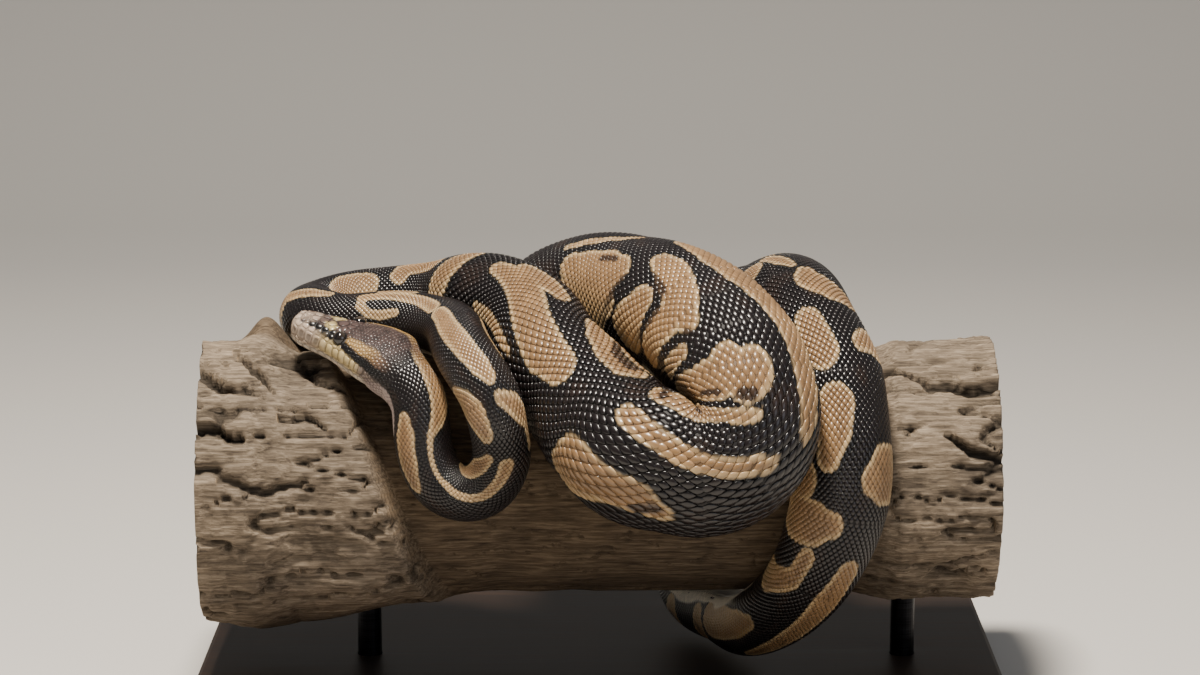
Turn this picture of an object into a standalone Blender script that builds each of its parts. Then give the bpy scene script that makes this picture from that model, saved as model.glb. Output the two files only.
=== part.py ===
"""Ball python coiled on a short length of weathered log, held by a plain stand. Metres, +Z up."""
import math
import bpy
import bmesh
import numpy as np

for old in list(bpy.data.objects):
    bpy.data.objects.remove(old, do_unlink=True)

MM = 0.001
GAP = 0.3                       # clearance between neighbouring solids, mm

# ---- driving sizes, mm ----
BASE_X, BASE_Y, BASE_T = 330.0, 256.0, 12.0
BASE_ROUND, BASE_EDGE = 16.0, 2.0
ROD_R = 5.0
ROD_X = (-96.0, 126.0)
ROD_Y = 4.0                     # from the log's own axis
ROD_SINK_BASE, ROD_SINK_LOG = 8.0, 14.0
LOG_UP, LOG_BACK = 92.0, 12.0   # the log's axis above the floor and behind the middle of the base
LOG_HALF = 160.0
LOG_SIDES, LOG_STEP = 30, 10.0
BODY_SIDES, BODY_STEP = 16, 8.0
HEAD_LONG = 48.0
HEAD_ROLL = 12.0                # degrees the crown leans to the front
EYE_R, EYE_IN = 3.1, 1.4         # the ball's radius and how deep its middle lies under the skin
EYE_AT, EYE_TURN = 24.2, 45.0   # from the snout, and degrees from the crown
BELLY_FLAT = 0.86               # belly plane as a share of the body's radius
PRESS, FOLD = 0.10, 0.60        # how far the thick loops flatten on each other; the hairpin's extra bend
PRESS_SOFT = 14                 # how sharply a pressed flat turns into the round

# The body's route round the log, from the snout to the tail: x, y, z from the middle of the log's
# axis, and the body's radius there.
ROUTE = {
    "head": [(-122.5, -30, 66.5, 7.0), (-105, -35, 61.3, 10.5), (-87, -43, 55.6, 14.0)],
    "neck_down": [(-76, -51, 50, 11.4), (-71, -58, 43, 11.3), (-70, -62, 29, 11.3)],
    "neck_loop": [(-68, -62, 17, 11.3), (-62, -62, 7, 11.3), (-53, -63, 3, 11.3),
                  (-44, -66, 8, 11.5), (-39, -70, 18, 11.6), (-38, -74, 30, 11.7)],
    "neck_up": [(-40, -75, 42, 11.8), (-46, -69, 52, 11.9), (-53, -56, 59, 12.0), (-64, -40, 63, 12.0)],
    "over_left": [(-76, -24, 65, 12.0), (-89, -13, 64, 12.2), (-102, -9, 62, 12.4)],
    "turn_left": [(-115, 0, 60, 13.0), (-122, 14, 59, 13.6), (-117, 27, 60, 14.4)],
    "rear_left": [(-103, 31, 62, 15.2), (-89, 30, 63, 15.8), (-77, 29, 64, 16.2), (-65, 25, 66, 16.6)],
    "crest": [(-56, 12, 70, 17.2), (-50, -4, 72, 17.8), (-42, -20, 71, 18.8)],
    "front_down": [(-32, -36, 66, 20.6), (-21, -50, 56, 23.0), (-10, -62, 45, 25.4), (2, -73, 35, 27.2)],
    "hairpin": [(14, -83, 29, 28.2), (30, -92, 24.5, 28.3), (44, -99, 22.5, 28.2), (55, -98, 28, 28.1),
                (58, -84, 43, 28.0), (53, -68, 56, 28.0)],
    "over_middle": [(46, -54, 65, 27.8), (32, -36, 71, 27.6), (18, -12, 71, 27.4), (2, 10, 66, 27.2)],
    "turn_rear": [(-13, 32, 61, 27.0), (-24, 53, 54, 26.4), (-19, 70, 46, 26.0), (-3, 74, 39, 25.6)],
    "rear_run": [(17, 73, 37, 25.4), (39, 70, 40, 25.0), (56, 60, 47, 24.6)],
    "over_right": [(68, 42, 54, 24.2), (75, 20, 58, 23.8), (79, -4, 57, 23.2)],
    "front_right": [(84, -28, 55, 22.6), (88, -46, 47, 21.8), (92, -57, 37, 21.0), (94, -63, 26, 20.4),
                    (95, -66, 14, 20.0), (94, -65, 1, 19.4)],
    "under": [(90, -60, -13, 18.4), (84, -50, -28, 17.0), (76, -36, -42, 15.4), (66, -18, -53, 14.0),
              (55, 0, -61, 13.0)],
    "tail": [(46, 18, -65, 12.0), (38, 34, -64, 11.0), (33, 48, -57, 9.8), (31, 56, -45, 8.4),
             (32, 60, -32, 6.8), (35, 62, -19, 5.2), (39, 62, -8, 3.6), (43, 61, 1, 2.0)],
}
# Body lengths: name and where each ends, as a share of the whole length.
LENGTHS = [("neck", 0.172), ("trunk_1", 0.310), ("trunk_2", 0.440), ("trunk_3", 0.575),
           ("trunk_4", 0.715), ("trunk_5", 0.885), ("tail", 1.0)]

# The log: along its length, the height of its middle and its radius.
LOG_PROFILE = [(-170, -3, 55), (-140, -2, 54), (-122, -1, 49), (-104, -1, 49.5), (-86, -1.5, 50),
               (-66, -3, 48.5), (-40, -4.5, 46.5), (60, -4.5, 46.5), (78, -4.5, 45.2), (94, -4.5, 46),
               (106, -3, 49), (120, -1, 53), (170, 0, 54)]


# ---- the log's surface ----
def smoothstep(a, b, x):
    t = np.clip((x - a) / (b - a), 0.0, 1.0)
    return t * t * (3 - 2 * t)


def log_middle(x):
    keys = np.array(LOG_PROFILE, float)
    return np.interp(x, keys[:, 0], keys[:, 1])


def log_radius(x, around):
    """Radius at x and at an angle in degrees from straight up, positive to the front."""
    keys = np.array(LOG_PROFILE, float)
    r = np.interp(x, keys[:, 0], keys[:, 2])
    a = (around + 180.0) % 360.0 - 180.0
    # the bark left on the front at the left end, broken off along a slanting edge
    edge = -104.0 + 0.36 * (np.clip(a, 20, 150) - 35.0)
    r = r + 10.5 * smoothstep(12, 24, a) * (1 - smoothstep(120, 165, a)) * (1 - smoothstep(-3, 5, x - edge))
    # a knot beside the turn and a swelling below it
    r = r + 11.0 * np.exp(-((x + 136) / 8.0) ** 2 - ((a - 6) / 13.0) ** 2)
    r = r + 13.0 * np.exp(-((x + 121) / 34.0) ** 2 - (((a % 360.0) - 180) / 52.0) ** 2)
    # a low hump under the neck
    r = r + 5.5 * np.exp(-((x + 69) / 12.0) ** 2 - ((a + 7) / 15.0) ** 2)
    # two long ridges that wander along the grain
    r = r + 1.6 * np.cos(np.radians(3 * a + 0.55 * x)) * smoothstep(60, 110, np.abs(a))
    return r


# ---- the body's route ----
def spline(points, step):
    p = np.array(points, float)
    q = np.vstack([2 * p[0] - p[1], p, 2 * p[-1] - p[-2]])
    out = []
    for i in range(len(p) - 1):
        a, b, c, d = q[i:i + 4]
        for t in np.linspace(0, 1, 20, endpoint=False):
            out.append((2 * t**3 - 3 * t**2 + 1) * b + (t**3 - 2 * t**2 + t) * (c - a) / 2
                       + (-2 * t**3 + 3 * t**2) * c + (t**3 - t**2) * (d - b) / 2)
    out.append(p[-1])
    return evenly(np.array(out), step)


def evenly(p, step):
    s = np.r_[0, np.cumsum(np.linalg.norm(np.diff(p[:, :3], axis=0), axis=1))]
    at = np.linspace(0, s[-1], int(round(s[-1] / step)) + 1)
    return np.stack([np.interp(at, s, p[:, k]) for k in range(p.shape[1])], 1)


def settle(p, rounds=700, gap=0.9):
    """Lays the body down: no part enters the log or another part, and no bend is tighter than the
    body allows. The sight lines hold more firmly than the depth."""
    home, r, x = p[:, :3].copy(), p[:, 3], p[:, :3].copy()
    s = np.r_[0, np.cumsum(np.linalg.norm(np.diff(home, axis=0), axis=1))]
    keys = np.array(HEAD_SIZES)
    plain, loose = r, smoothstep(20, 27.5, r)
    r = np.maximum(r, np.interp(s, keys[:, 0], keys[:, 1] + 0.6, right=0))
    apart = np.abs(s[:, None] - s[None]) > 3.0 * np.maximum(r[:, None], r[None])
    press = r * (1 - PRESS * loose)
    limit = 0.84 + FOLD * smoothstep(27.7, 28.05, r)[1:-1]
    free = smoothstep(HEAD_LONG - 4, HEAD_LONG + 26, s)[:, None]
    hold = np.array([0.042, 0.0042, 0.042])
    for k in range(rounds):
        d = x[:, None] - x[None]
        far = np.linalg.norm(d, axis=2) + 1e-9
        push = np.where(apart, np.maximum(press[:, None] + press[None] + gap - far, 0), 0)
        move = (d / far[..., None] * (push**2)[..., None]).sum(1) / (push.sum(1) + 1e-9)[:, None] * 0.5
        out = x[:, 1:] - np.stack([0 * s, log_middle(x[:, 0])], 1)
        reach = np.linalg.norm(out, axis=1) + 1e-9
        around = np.degrees(np.arctan2(-out[:, 0], out[:, 1]))
        short = np.maximum(log_radius(x[:, 0], around) + r + gap - reach, 0)
        move[:, 1:] += out / reach[:, None] * short[:, None] * 0.6
        move += hold * (home - x) * min(1.0, 2.0 * (1 - k / rounds))
        for _ in range(3):
            move[1:-1] = 0.25 * move[:-2] + 0.5 * move[1:-1] + 0.25 * move[2:]
        x = x + move * free
        ease = 0.5 * (x[:-2] + x[2:]) - x[1:-1]
        span = np.linalg.norm(x[2:] - x[:-2], axis=1) / 2
        bend = 2 * np.linalg.norm(ease, axis=1) / span**2 * r[1:-1]
        w = 0.02 + np.clip((bend - limit) * 3.0, 0, 1) * 0.9
        w = np.convolve(np.r_[w[0], w[0], w, w[-1], w[-1]], [0.1, 0.2, 0.4, 0.2, 0.1], "valid")
        x[1:-1] += 0.5 * w[:, None] * ease * free[1:-1]
    return evenly(np.column_stack([x, plain]), 4.0)


def directions(p):
    """Distance, tangent, dorsal and left-hand vectors at each station."""
    x = p[:, :3]
    s = np.r_[0, np.cumsum(np.linalg.norm(np.diff(x, axis=0), axis=1))]
    t = np.gradient(x, s, axis=0)
    for _ in range(2):
        t[1:-1] = 0.25 * t[:-2] + 0.5 * t[1:-1] + 0.25 * t[2:]
    t /= np.linalg.norm(t, axis=1)[:, None]
    out = x - np.stack([x[:, 0], 0 * s, log_middle(x[:, 0])], 1)
    out /= np.linalg.norm(out, axis=1)[:, None]
    lean = math.radians(HEAD_ROLL)
    crown = np.array([0, -math.sin(lean), math.cos(lean)])
    w = smoothstep(HEAD_LONG * 0.8, HEAD_LONG * 1.9, s)[:, None]
    up = (1 - w) * crown + w * out
    for _ in range(12):
        up = up - (up * t).sum(1)[:, None] * t
        up /= np.linalg.norm(up, axis=1)[:, None]
        up[1:-1] = 0.25 * up[:-2] + 0.5 * up[1:-1] + 0.25 * up[2:]
    up = up - (up * t).sum(1)[:, None] * t
    up /= np.linalg.norm(up, axis=1)[:, None]
    return s, t, up, np.cross(t, up)


def between(s, keys, at):
    return np.array([np.interp(at, s, keys[:, k]) for k in range(keys.shape[1])])


# ---- sections ----
HEAD_SIZES = [  # from the snout: half width, height above and depth below the middle
    (0.0, 3.4, 3.2, 3.4), (0.8, 5.0, 4.7, 4.9), (2.4, 6.5, 5.9, 6.3), (5.0, 7.6, 6.6, 7.2),
    (9.0, 8.5, 7.0, 7.8), (14.0, 9.3, 7.3, 8.2), (19.0, 10.2, 7.6, 8.6), (25.0, 12.2, 8.3, 9.4),
    (31.0, 14.2, 9.2, 10.2), (37.0, 15.4, 10.0, 10.9), (42.0, 15.4, 10.6, 11.3),
    (48.0, 13.8, 10.9, 11.4), (54.0, 12.2, 11.1, 10.9), (62.0, 11.4, 11.4, 9.8),
]


def head_section(at, angle):
    """Offsets (side, up) of the head's surface, angle from the crown, positive to the left."""
    keys = np.array(HEAD_SIZES)
    w, up, down = (np.interp(at, keys[:, 0], keys[:, k]) for k in (1, 2, 3))
    square = 2.45 - 0.45 * float(smoothstep(30, 58, at))
    c, n = math.cos(angle), math.sin(angle)
    tall = up if c > 0 else down
    k = (abs(c)**square + abs(n)**square) ** (-1 / square)
    narrow = 1.0 - 0.16 * float(smoothstep(0.1, 0.9, -c)) * (1 - float(smoothstep(36, 56, at)))
    return n * w * k * narrow, c * tall * k


def body_section(r, angle):
    c, n = math.cos(angle), math.sin(angle)
    if c < -0.3:
        c = -0.3 - (BELLY_FLAT - 0.3) * math.sin((-c - 0.3) / 0.7 * math.pi / 2) ** 0.8
    return n * r, c * r


def squeezed(path, at, x, ray):
    """Shortens a ray from x where another length of the body presses on this one: each stops at the
    flat halfway between them."""
    s, points = path["frames"][0], path["points"]
    r = float(np.interp(at, s, points[:, 3]))
    reach = np.linalg.norm(ray)
    d = points[12:, :3] - x
    far = np.linalg.norm(d, axis=1) + 1e-9
    facing = d @ ray / (reach * far)
    flat = far * r / (r + points[12:, 3]) - 1.5 * GAP
    on = (np.abs(at - s[12:]) > 0.8 * r) & (facing > 0.04)
    if not on.any():
        return ray
    allowed = float(np.min(np.maximum(flat[on], 1.0) / facing[on]))
    share = (1 + (reach / allowed) ** PRESS_SOFT) ** (-1 / PRESS_SOFT)
    return ray * (1 - (1 - share) * float(smoothstep(HEAD_LONG + 2, HEAD_LONG + 12, at)))


def ring(path, at, sides, head=False):
    s, t, up, left = path["frames"]
    x = between(s, path["points"][:, :3], at)
    u, l = between(s, up, at), between(s, left, at)
    r = float(np.interp(at, s, path["points"][:, 3]))
    out = []
    for i in range(sides):
        a = 2 * math.pi * i / sides
        side, high = head_section(at, a) if head else body_section(r, a)
        out.append(x + squeezed(path, at, x, side * l + high * u))
    return out


# ---- making objects ----
def collection(name, hidden=False):
    made = bpy.data.collections.new(name)
    bpy.context.scene.collection.children.link(made)
    made.hide_render = hidden
    return made


NODES, CUTTERS = collection("coiled_python"), collection("cutters", True)


def material(name, rgb, rough, metal=0.0):
    made = bpy.data.materials.new(name)
    made.use_nodes = True
    shade = made.node_tree.nodes["Principled BSDF"]
    shade.inputs["Base Color"].default_value = (*rgb, 1)
    shade.inputs["Roughness"].default_value = rough
    shade.inputs["Metallic"].default_value = metal
    return made


def add(name, bm, look, cutter=False):
    bmesh.ops.triangulate(bm, faces=bm.faces)
    bmesh.ops.recalc_face_normals(bm, faces=bm.faces)
    if bm.calc_volume(signed=True) < 0:
        bmesh.ops.reverse_faces(bm, faces=bm.faces)
    mesh = bpy.data.meshes.new(name)
    bm.to_mesh(mesh)
    bm.free()
    made = bpy.data.objects.new(name, mesh)
    (CUTTERS if cutter else NODES).objects.link(made)
    if cutter:
        made.hide_render = True
        made.display_type = "WIRE"
    elif look:
        mesh.materials.append(look)
    return made


def place(p):
    """From the log's own frame to the object's, in metres."""
    return (p[0] * MM, (p[1] + LOG_BACK) * MM, (p[2] + LOG_UP) * MM)


def loft(rings):
    """A closed skin through rings of points, each end closed by its middle point."""
    bm = bmesh.new()
    rows = [[bm.verts.new(place(p)) for p in row] for row in rings]
    n = len(rows[0])
    for a, b in zip(rows, rows[1:]):
        for i in range(n):
            bm.faces.new((a[i], a[(i + 1) % n], b[(i + 1) % n], b[i]))
    for row, points in ((rows[0], rings[0]), (rows[-1], rings[-1])):
        middle = bm.verts.new(place(np.mean(points, axis=0)))
        for i in range(n):
            bm.faces.new((row[i], row[(i + 1) % n], middle))
    return bm


def cut(target, cutter):
    m = target.modifiers.new("cut_" + cutter.name, "BOOLEAN")
    m.operation, m.solver, m.object = "DIFFERENCE", "EXACT", cutter


def make_body(path, skin):
    total = path["frames"][0][-1]
    start = HEAD_LONG + 8.0
    for name, share in LENGTHS:
        end = share * total
        a = start + GAP / 2
        b = end - (GAP / 2 if name != "tail" else 0)
        count = max(2, int(round((b - a) / BODY_STEP)))
        rings = [ring(path, at, BODY_SIDES) for at in np.linspace(a, b, count + 1)]
        add(name, loft(rings), skin)
        start = end


def make_head(path, skin, eye_look):
    stations = [k[0] for k in HEAD_SIZES[:-2]] + [HEAD_LONG + 4.0, HEAD_LONG + 8.0 - GAP / 2]
    add("head", loft([ring(path, at, 20, head=True) for at in stations]), skin)
    s, t, up, left = path["frames"]
    x, u, l = (between(s, k, EYE_AT) for k in (path["points"][:, :3], up, left))
    turn = math.radians(EYE_TURN)
    side, high = head_section(EYE_AT, turn)
    for name, way in (("eye_left", 1), ("eye_right", -1)):
        centre = x + l * way * (side - EYE_IN * math.sin(turn)) + u * (high - EYE_IN * math.cos(turn))
        for label, radius, cutter in ((name, EYE_R, False), (name + "_socket", EYE_R + GAP, True)):
            bm = bmesh.new()
            bmesh.ops.create_uvsphere(bm, u_segments=16, v_segments=10, radius=radius * MM)
            bmesh.ops.translate(bm, verts=bm.verts, vec=place(centre))
            made = add(label, bm, eye_look, cutter)
        cut(bpy.data.objects["head"], made)


def make_log(look):
    count = int(2 * LOG_HALF / LOG_STEP)
    rings = []
    for x in np.linspace(-LOG_HALF, LOG_HALF, count + 1):
        angles = np.arange(LOG_SIDES) * 360.0 / LOG_SIDES
        r = log_radius(x, angles)
        z = log_middle(x)
        rings.append([np.array([x, -q * math.sin(math.radians(a)), z + q * math.cos(math.radians(a))])
                      for a, q in zip(angles, r)])
    return add("perch_log", loft(rings), look)


def cylinder(name, radius, low, high, x, y, look, cutter=False, sides=24):
    bm = bmesh.new()
    bmesh.ops.create_cone(bm, cap_ends=True, segments=sides, radius1=radius * MM, radius2=radius * MM,
                          depth=(high - low) * MM)
    bmesh.ops.translate(bm, verts=bm.verts, vec=(x * MM, y * MM, (low + high) / 2 * MM))
    return add(name, bm, look, cutter)


def make_stand(log, wood, metal):
    bm = bmesh.new()
    bmesh.ops.create_cube(bm, size=1.0)
    bmesh.ops.scale(bm, verts=bm.verts, vec=(BASE_X * MM, BASE_Y * MM, BASE_T * MM))
    bmesh.ops.translate(bm, verts=bm.verts, vec=(0, 0, BASE_T / 2 * MM))
    corners = [e for e in bm.edges if abs(e.verts[0].co.z - e.verts[1].co.z) > 1e-6]
    bmesh.ops.bevel(bm, geom=corners, offset=BASE_ROUND * MM, segments=6, profile=0.5,
                    affect="EDGES", material=-1)
    rim = [e for e in bm.edges if all(v.co.z > (BASE_T - 0.01) * MM for v in e.verts)]
    bmesh.ops.bevel(bm, geom=rim, offset=BASE_EDGE * MM, segments=2, profile=0.5,
                    affect="EDGES", material=-1)
    base = add("stand_base", bm, wood)
    for side, x in zip(("left", "right"), ROD_X):
        y = ROD_Y + LOG_BACK
        around = math.degrees(math.atan2(-ROD_Y, -1.0))
        under = LOG_UP + log_middle(x) - float(log_radius(x, around))
        top, low = under + ROD_SINK_LOG, BASE_T - ROD_SINK_BASE
        cylinder("stand_rod_" + side, ROD_R, low + GAP, top - GAP, x, y, metal)
        cut(log, cylinder("hole_log_" + side, ROD_R + GAP, under - 20, top, x, y, None, True))
        cut(base, cylinder("hole_base_" + side, ROD_R + GAP, low, BASE_T + 20, x, y, None, True))


stations = [p for part in ROUTE.values() for p in part]
points = settle(spline(stations, 4.0))
body = {"points": points, "frames": directions(points)}
skin = material("snake_skin", (0.10, 0.065, 0.045), 0.45)
make_head(body, skin, material("eye_gloss", (0.01, 0.01, 0.012), 0.08))
make_body(body, skin)
bark = make_log(material("weathered_wood", (0.33, 0.28, 0.22), 0.85))
make_stand(bark, material("stained_wood", (0.045, 0.03, 0.022), 0.5),
           material("black_steel", (0.02, 0.02, 0.022), 0.4, 1.0))
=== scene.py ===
"""Looks of a coiled ball python on a weathered log, held by a plain museum stand."""

import math

import bmesh
import bpy
import numpy as np
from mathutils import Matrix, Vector, noise
from mathutils.bvhtree import BVHTree


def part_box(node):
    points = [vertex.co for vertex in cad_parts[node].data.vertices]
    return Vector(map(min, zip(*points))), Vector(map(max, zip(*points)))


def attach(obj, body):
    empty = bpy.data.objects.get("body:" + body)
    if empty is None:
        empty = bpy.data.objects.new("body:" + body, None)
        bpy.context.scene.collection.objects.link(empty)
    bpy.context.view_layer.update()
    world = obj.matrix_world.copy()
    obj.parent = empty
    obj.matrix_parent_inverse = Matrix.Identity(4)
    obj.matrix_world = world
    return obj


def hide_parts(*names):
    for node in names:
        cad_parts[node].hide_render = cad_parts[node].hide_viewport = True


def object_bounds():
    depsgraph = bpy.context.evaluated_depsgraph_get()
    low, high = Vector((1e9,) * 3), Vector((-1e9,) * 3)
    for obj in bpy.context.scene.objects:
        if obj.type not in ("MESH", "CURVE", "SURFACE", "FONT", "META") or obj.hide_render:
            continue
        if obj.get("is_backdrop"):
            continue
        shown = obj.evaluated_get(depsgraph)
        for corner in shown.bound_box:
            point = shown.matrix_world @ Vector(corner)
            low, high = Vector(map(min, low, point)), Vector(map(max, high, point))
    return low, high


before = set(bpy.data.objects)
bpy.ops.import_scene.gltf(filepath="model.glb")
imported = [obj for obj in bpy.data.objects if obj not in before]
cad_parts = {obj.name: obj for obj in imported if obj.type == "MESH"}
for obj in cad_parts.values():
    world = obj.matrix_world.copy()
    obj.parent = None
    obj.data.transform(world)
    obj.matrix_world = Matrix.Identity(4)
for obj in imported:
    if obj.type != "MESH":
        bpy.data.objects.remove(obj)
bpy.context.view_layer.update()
MM = 0.001


# ---- Stand base ----
# A flat oak board, stained nearly black and waxed, with rounded corners and an eased rim. The solid
# already has its true shape, so only its finish is made here.
def linear(hex_colour):
    """sRGB hex to linear red, green, blue."""
    parts = [int(hex_colour[i:i + 2], 16) / 255 for i in (1, 3, 5)]
    return np.array([c / 12.92 if c <= 0.04045 else ((c + 0.055) / 1.055) ** 2.4 for c in parts])


def feed(made, links):
    """Links sources to a node's inputs. A node as the source stands for its first output."""
    for name, source in links.items():
        source = source.outputs[0] if isinstance(source, bpy.types.Node) else source
        made.id_data.links.new(made.inputs[name], source)


def node(tree, kind, settings=None, links=None):
    """Adds a shader node: settings name its properties, sockets or colour stops, links its inputs."""
    made = tree.nodes.new("ShaderNode" + kind)
    for name, value in (settings or {}).items():
        if name == "stops":
            stops = made.color_ramp.elements
            while len(stops) < len(value):
                stops.new(1.0)
            for stop, (at, colour) in zip(stops, value):
                stop.position, stop.color = at, (*linear(colour), 1)
        elif isinstance(name, str) and hasattr(made, name):
            setattr(made, name, value)
        else:
            made.inputs[name].default_value = value
    feed(made, links or {})
    return made


def finish_named(name, settings):
    """A new material, its node tree and its shader, with the shader's own numbers set."""
    made = bpy.data.materials.new(name)
    made.use_nodes = True
    shader = made.node_tree.nodes["Principled BSDF"]
    for socket, value in settings.items():
        shader.inputs[socket].default_value = value
    return made, made.node_tree, shader


def dress(piece, material):
    piece.data.materials.clear()
    piece.data.materials.append(material)


# Stained oak board, planed and waxed: the eye sees dark long grain under a low satin sheen. The grain
# is 1.5 mm wide, a little coarser than oak's, so that it shows.
stained_oak, tree, shader = finish_named("stained_oak_waxed", {"IOR": 1.5, "Specular IOR Level": 0.5})
place = node(tree, "TexCoord").outputs["Object"]
along = node(tree, "Mapping", {"Scale": (16.0, 640.0, 640.0)}, {"Vector": place})
grain = node(tree, "TexNoise", {"Scale": 1.0, "Detail": 5.0, "Roughness": 0.6}, {"Vector": along})
tone = node(tree, "ValToRGB", {"stops": [(0.3, "#1d1511"), (0.55, "#33251c"), (0.75, "#493527")]},
            {"Fac": grain})
worn = node(tree, "MapRange", {"To Min": 0.38, "To Max": 0.58}, {"Value": grain})
pores = node(tree, "Bump", {"Strength": 0.25, "Distance": 0.0002}, {"Height": grain})
feed(shader, {"Base Color": tone, "Roughness": worn, "Normal": pores})
dress(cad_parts["stand_base"], stained_oak)


# ---- Stand rods ----
# Two turned steel rods, blackened in hot salts and oiled, pressed into drilled holes in the board and
# the log. The eye sees near-black metal with an oily gloss and fine turning lines round it.
blackened_steel, tree, shader = finish_named("blackened_steel_oiled", {"Metallic": 1.0})
place = node(tree, "TexCoord").outputs["Object"]
round_it = node(tree, "Mapping", {"Scale": (40.0, 40.0, 2500.0)}, {"Vector": place})
turning = node(tree, "TexNoise", {"Scale": 1.0, "Detail": 2.0}, {"Vector": round_it})
tone = node(tree, "ValToRGB", {"stops": [(0.3, "#141416"), (0.7, "#2a2a2d")]}, {"Fac": turning})
oily = node(tree, "MapRange", {"To Min": 0.28, "To Max": 0.46}, {"Value": turning})
feed(shader, {"Base Color": tone, "Roughness": oily})
for rod in ("stand_rod_left", "stand_rod_right"):
    dress(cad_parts[rod], blackened_steel)


# ---- Log ----
# A cut length of dead branch, weathered grey-brown: hard bark with cracks along the grain is left at
# both ends and broken off in layers, and bare wood shows between. Cracks and fibres are in the mesh.
LOG_UP, LOG_BACK, LOG_HALF = 92.0, 12.0, 160.0
LOG_PROFILE = np.array([  # mm along it, and the middle's height and the radius there
    (-170, -3, 55), (-140, -2, 54), (-122, -1, 49), (-104, -1, 49.5), (-86, -1.5, 50), (-66, -3, 48.5),
    (-40, -4.5, 46.5), (60, -4.5, 46.5), (78, -4.5, 45.2), (94, -4.5, 46), (106, -3, 49), (120, -1, 53),
    (170, 0, 54)])


def smoothstep(a, b, x):
    t = np.clip((x - a) / (b - a), 0.0, 1.0)
    return t * t * (3 - 2 * t)


def turned(degrees):
    """The same angle, between -180 and 180 degrees."""
    return (degrees + 180) % 360 - 180


def log_middle(x):
    return np.interp(x, LOG_PROFILE[:, 0], LOG_PROFILE[:, 1])


def bark_left(x, a):
    """1 on the bark left on the front of the left end, which is broken along a slanting edge."""
    edge = -104.0 + 0.36 * (np.clip(a, 20, 150) - 35.0)
    return smoothstep(12, 24, a) * (1 - smoothstep(120, 165, a)) * (1 - smoothstep(-3, 5, x - edge))


def bark_share(x, a):
    """1 where bark is left on either end, 0 on bare wood."""
    return np.maximum(bark_left(x, a), smoothstep(98, 118, x))


def swelling(x, a, height, x0, a0, length, width):
    """A rounded rise in mm about x0 mm and a0 degrees."""
    return height * np.exp(-((x - x0) / length) ** 2 - ((a - a0) / width) ** 2)


def log_radius(x, around):
    """Radius at x and at an angle in degrees from straight up, positive to the front."""
    a = turned(around)
    plain = np.interp(x, LOG_PROFILE[:, 0], LOG_PROFILE[:, 2]) + 10.5 * bark_left(x, a)
    knot = swelling(x, a, 11, -136, 6, 8, 13)           # on top, beside the body's left turn
    heel = swelling(x, a % 360, 13, -121, 180, 34, 52)  # under the left end
    hump = swelling(x, a, 5.5, -69, -7, 12, 15)         # low, under the neck
    flutes = 1.6 * np.cos(np.radians(3 * a + 0.55 * x)) * smoothstep(60, 110, np.abs(a))
    return plain + knot + heel + hump + flutes


def in_place(p):
    """From millimetres about the log's axis to metres in the object's frame."""
    return (np.asarray(p) + np.array([0, LOG_BACK, LOG_UP])) * MM


def wrapped_grid(columns, rows, shape):
    """A grid closed into a tube: shape turns shares along and around it into points in metres. The
    shares stay with the points as the layers along and around, and the first UV map is OFBake."""
    bm = bmesh.new()
    uv = bm.loops.layers.uv.new("OFBake")
    bmesh.ops.create_grid(bm, x_segments=columns, y_segments=rows, size=0.5, calc_uvs=True)
    along, around = (np.array([v.co for v in bm.verts])[:, :2] + 0.5).T
    for name, values in (("along", along), ("around", around)):
        layer = bm.verts.layers.float.new(name)
        for v, value in zip(bm.verts, values):
            v[layer] = value
    for v, p in zip(bm.verts, shape(along, around)):
        v.co = p
    bmesh.ops.remove_doubles(bm, verts=bm.verts, dist=2e-6)
    bmesh.ops.recalc_face_normals(bm, faces=bm.faces)
    if bm.calc_volume(signed=True) < 0:
        bmesh.ops.reverse_faces(bm, faces=bm.faces)
    return bm


def smooth_mesh(bm, name):
    for face in bm.faces:
        face.smooth = True
    mesh = bpy.data.meshes.new(name)
    bm.to_mesh(mesh)
    bm.free()
    return mesh


def shown(name, data):
    """A new object in the scene, at the origin."""
    made = bpy.data.objects.new(name, data)
    bpy.context.scene.collection.objects.link(made)
    return made


def piece_from(mesh, material, nodes=()):
    """Shows a mesh as a piece that rides on the one body, takes its material and may stand for CAD nodes.
    """
    made = shown(mesh.name, mesh)
    dress(made, material)
    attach(made, "root")
    if nodes:
        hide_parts(*nodes)


def points_of(mesh):
    return np.array([v.co for v in mesh.vertices])


def attribute_of(mesh, name):
    values = np.zeros(len(mesh.vertices), np.float32)
    mesh.attributes[name].data.foreach_get("value", values)
    return values.astype(float)


def paint(mesh, name, colours):
    """Stores linear colours on the mesh's points."""
    layer = mesh.color_attributes.new(name, "FLOAT_COLOR", "POINT")
    opaque = np.column_stack([colours, np.ones(len(colours))])
    layer.data.foreach_set("color", opaque.astype(np.float32).ravel())


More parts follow.
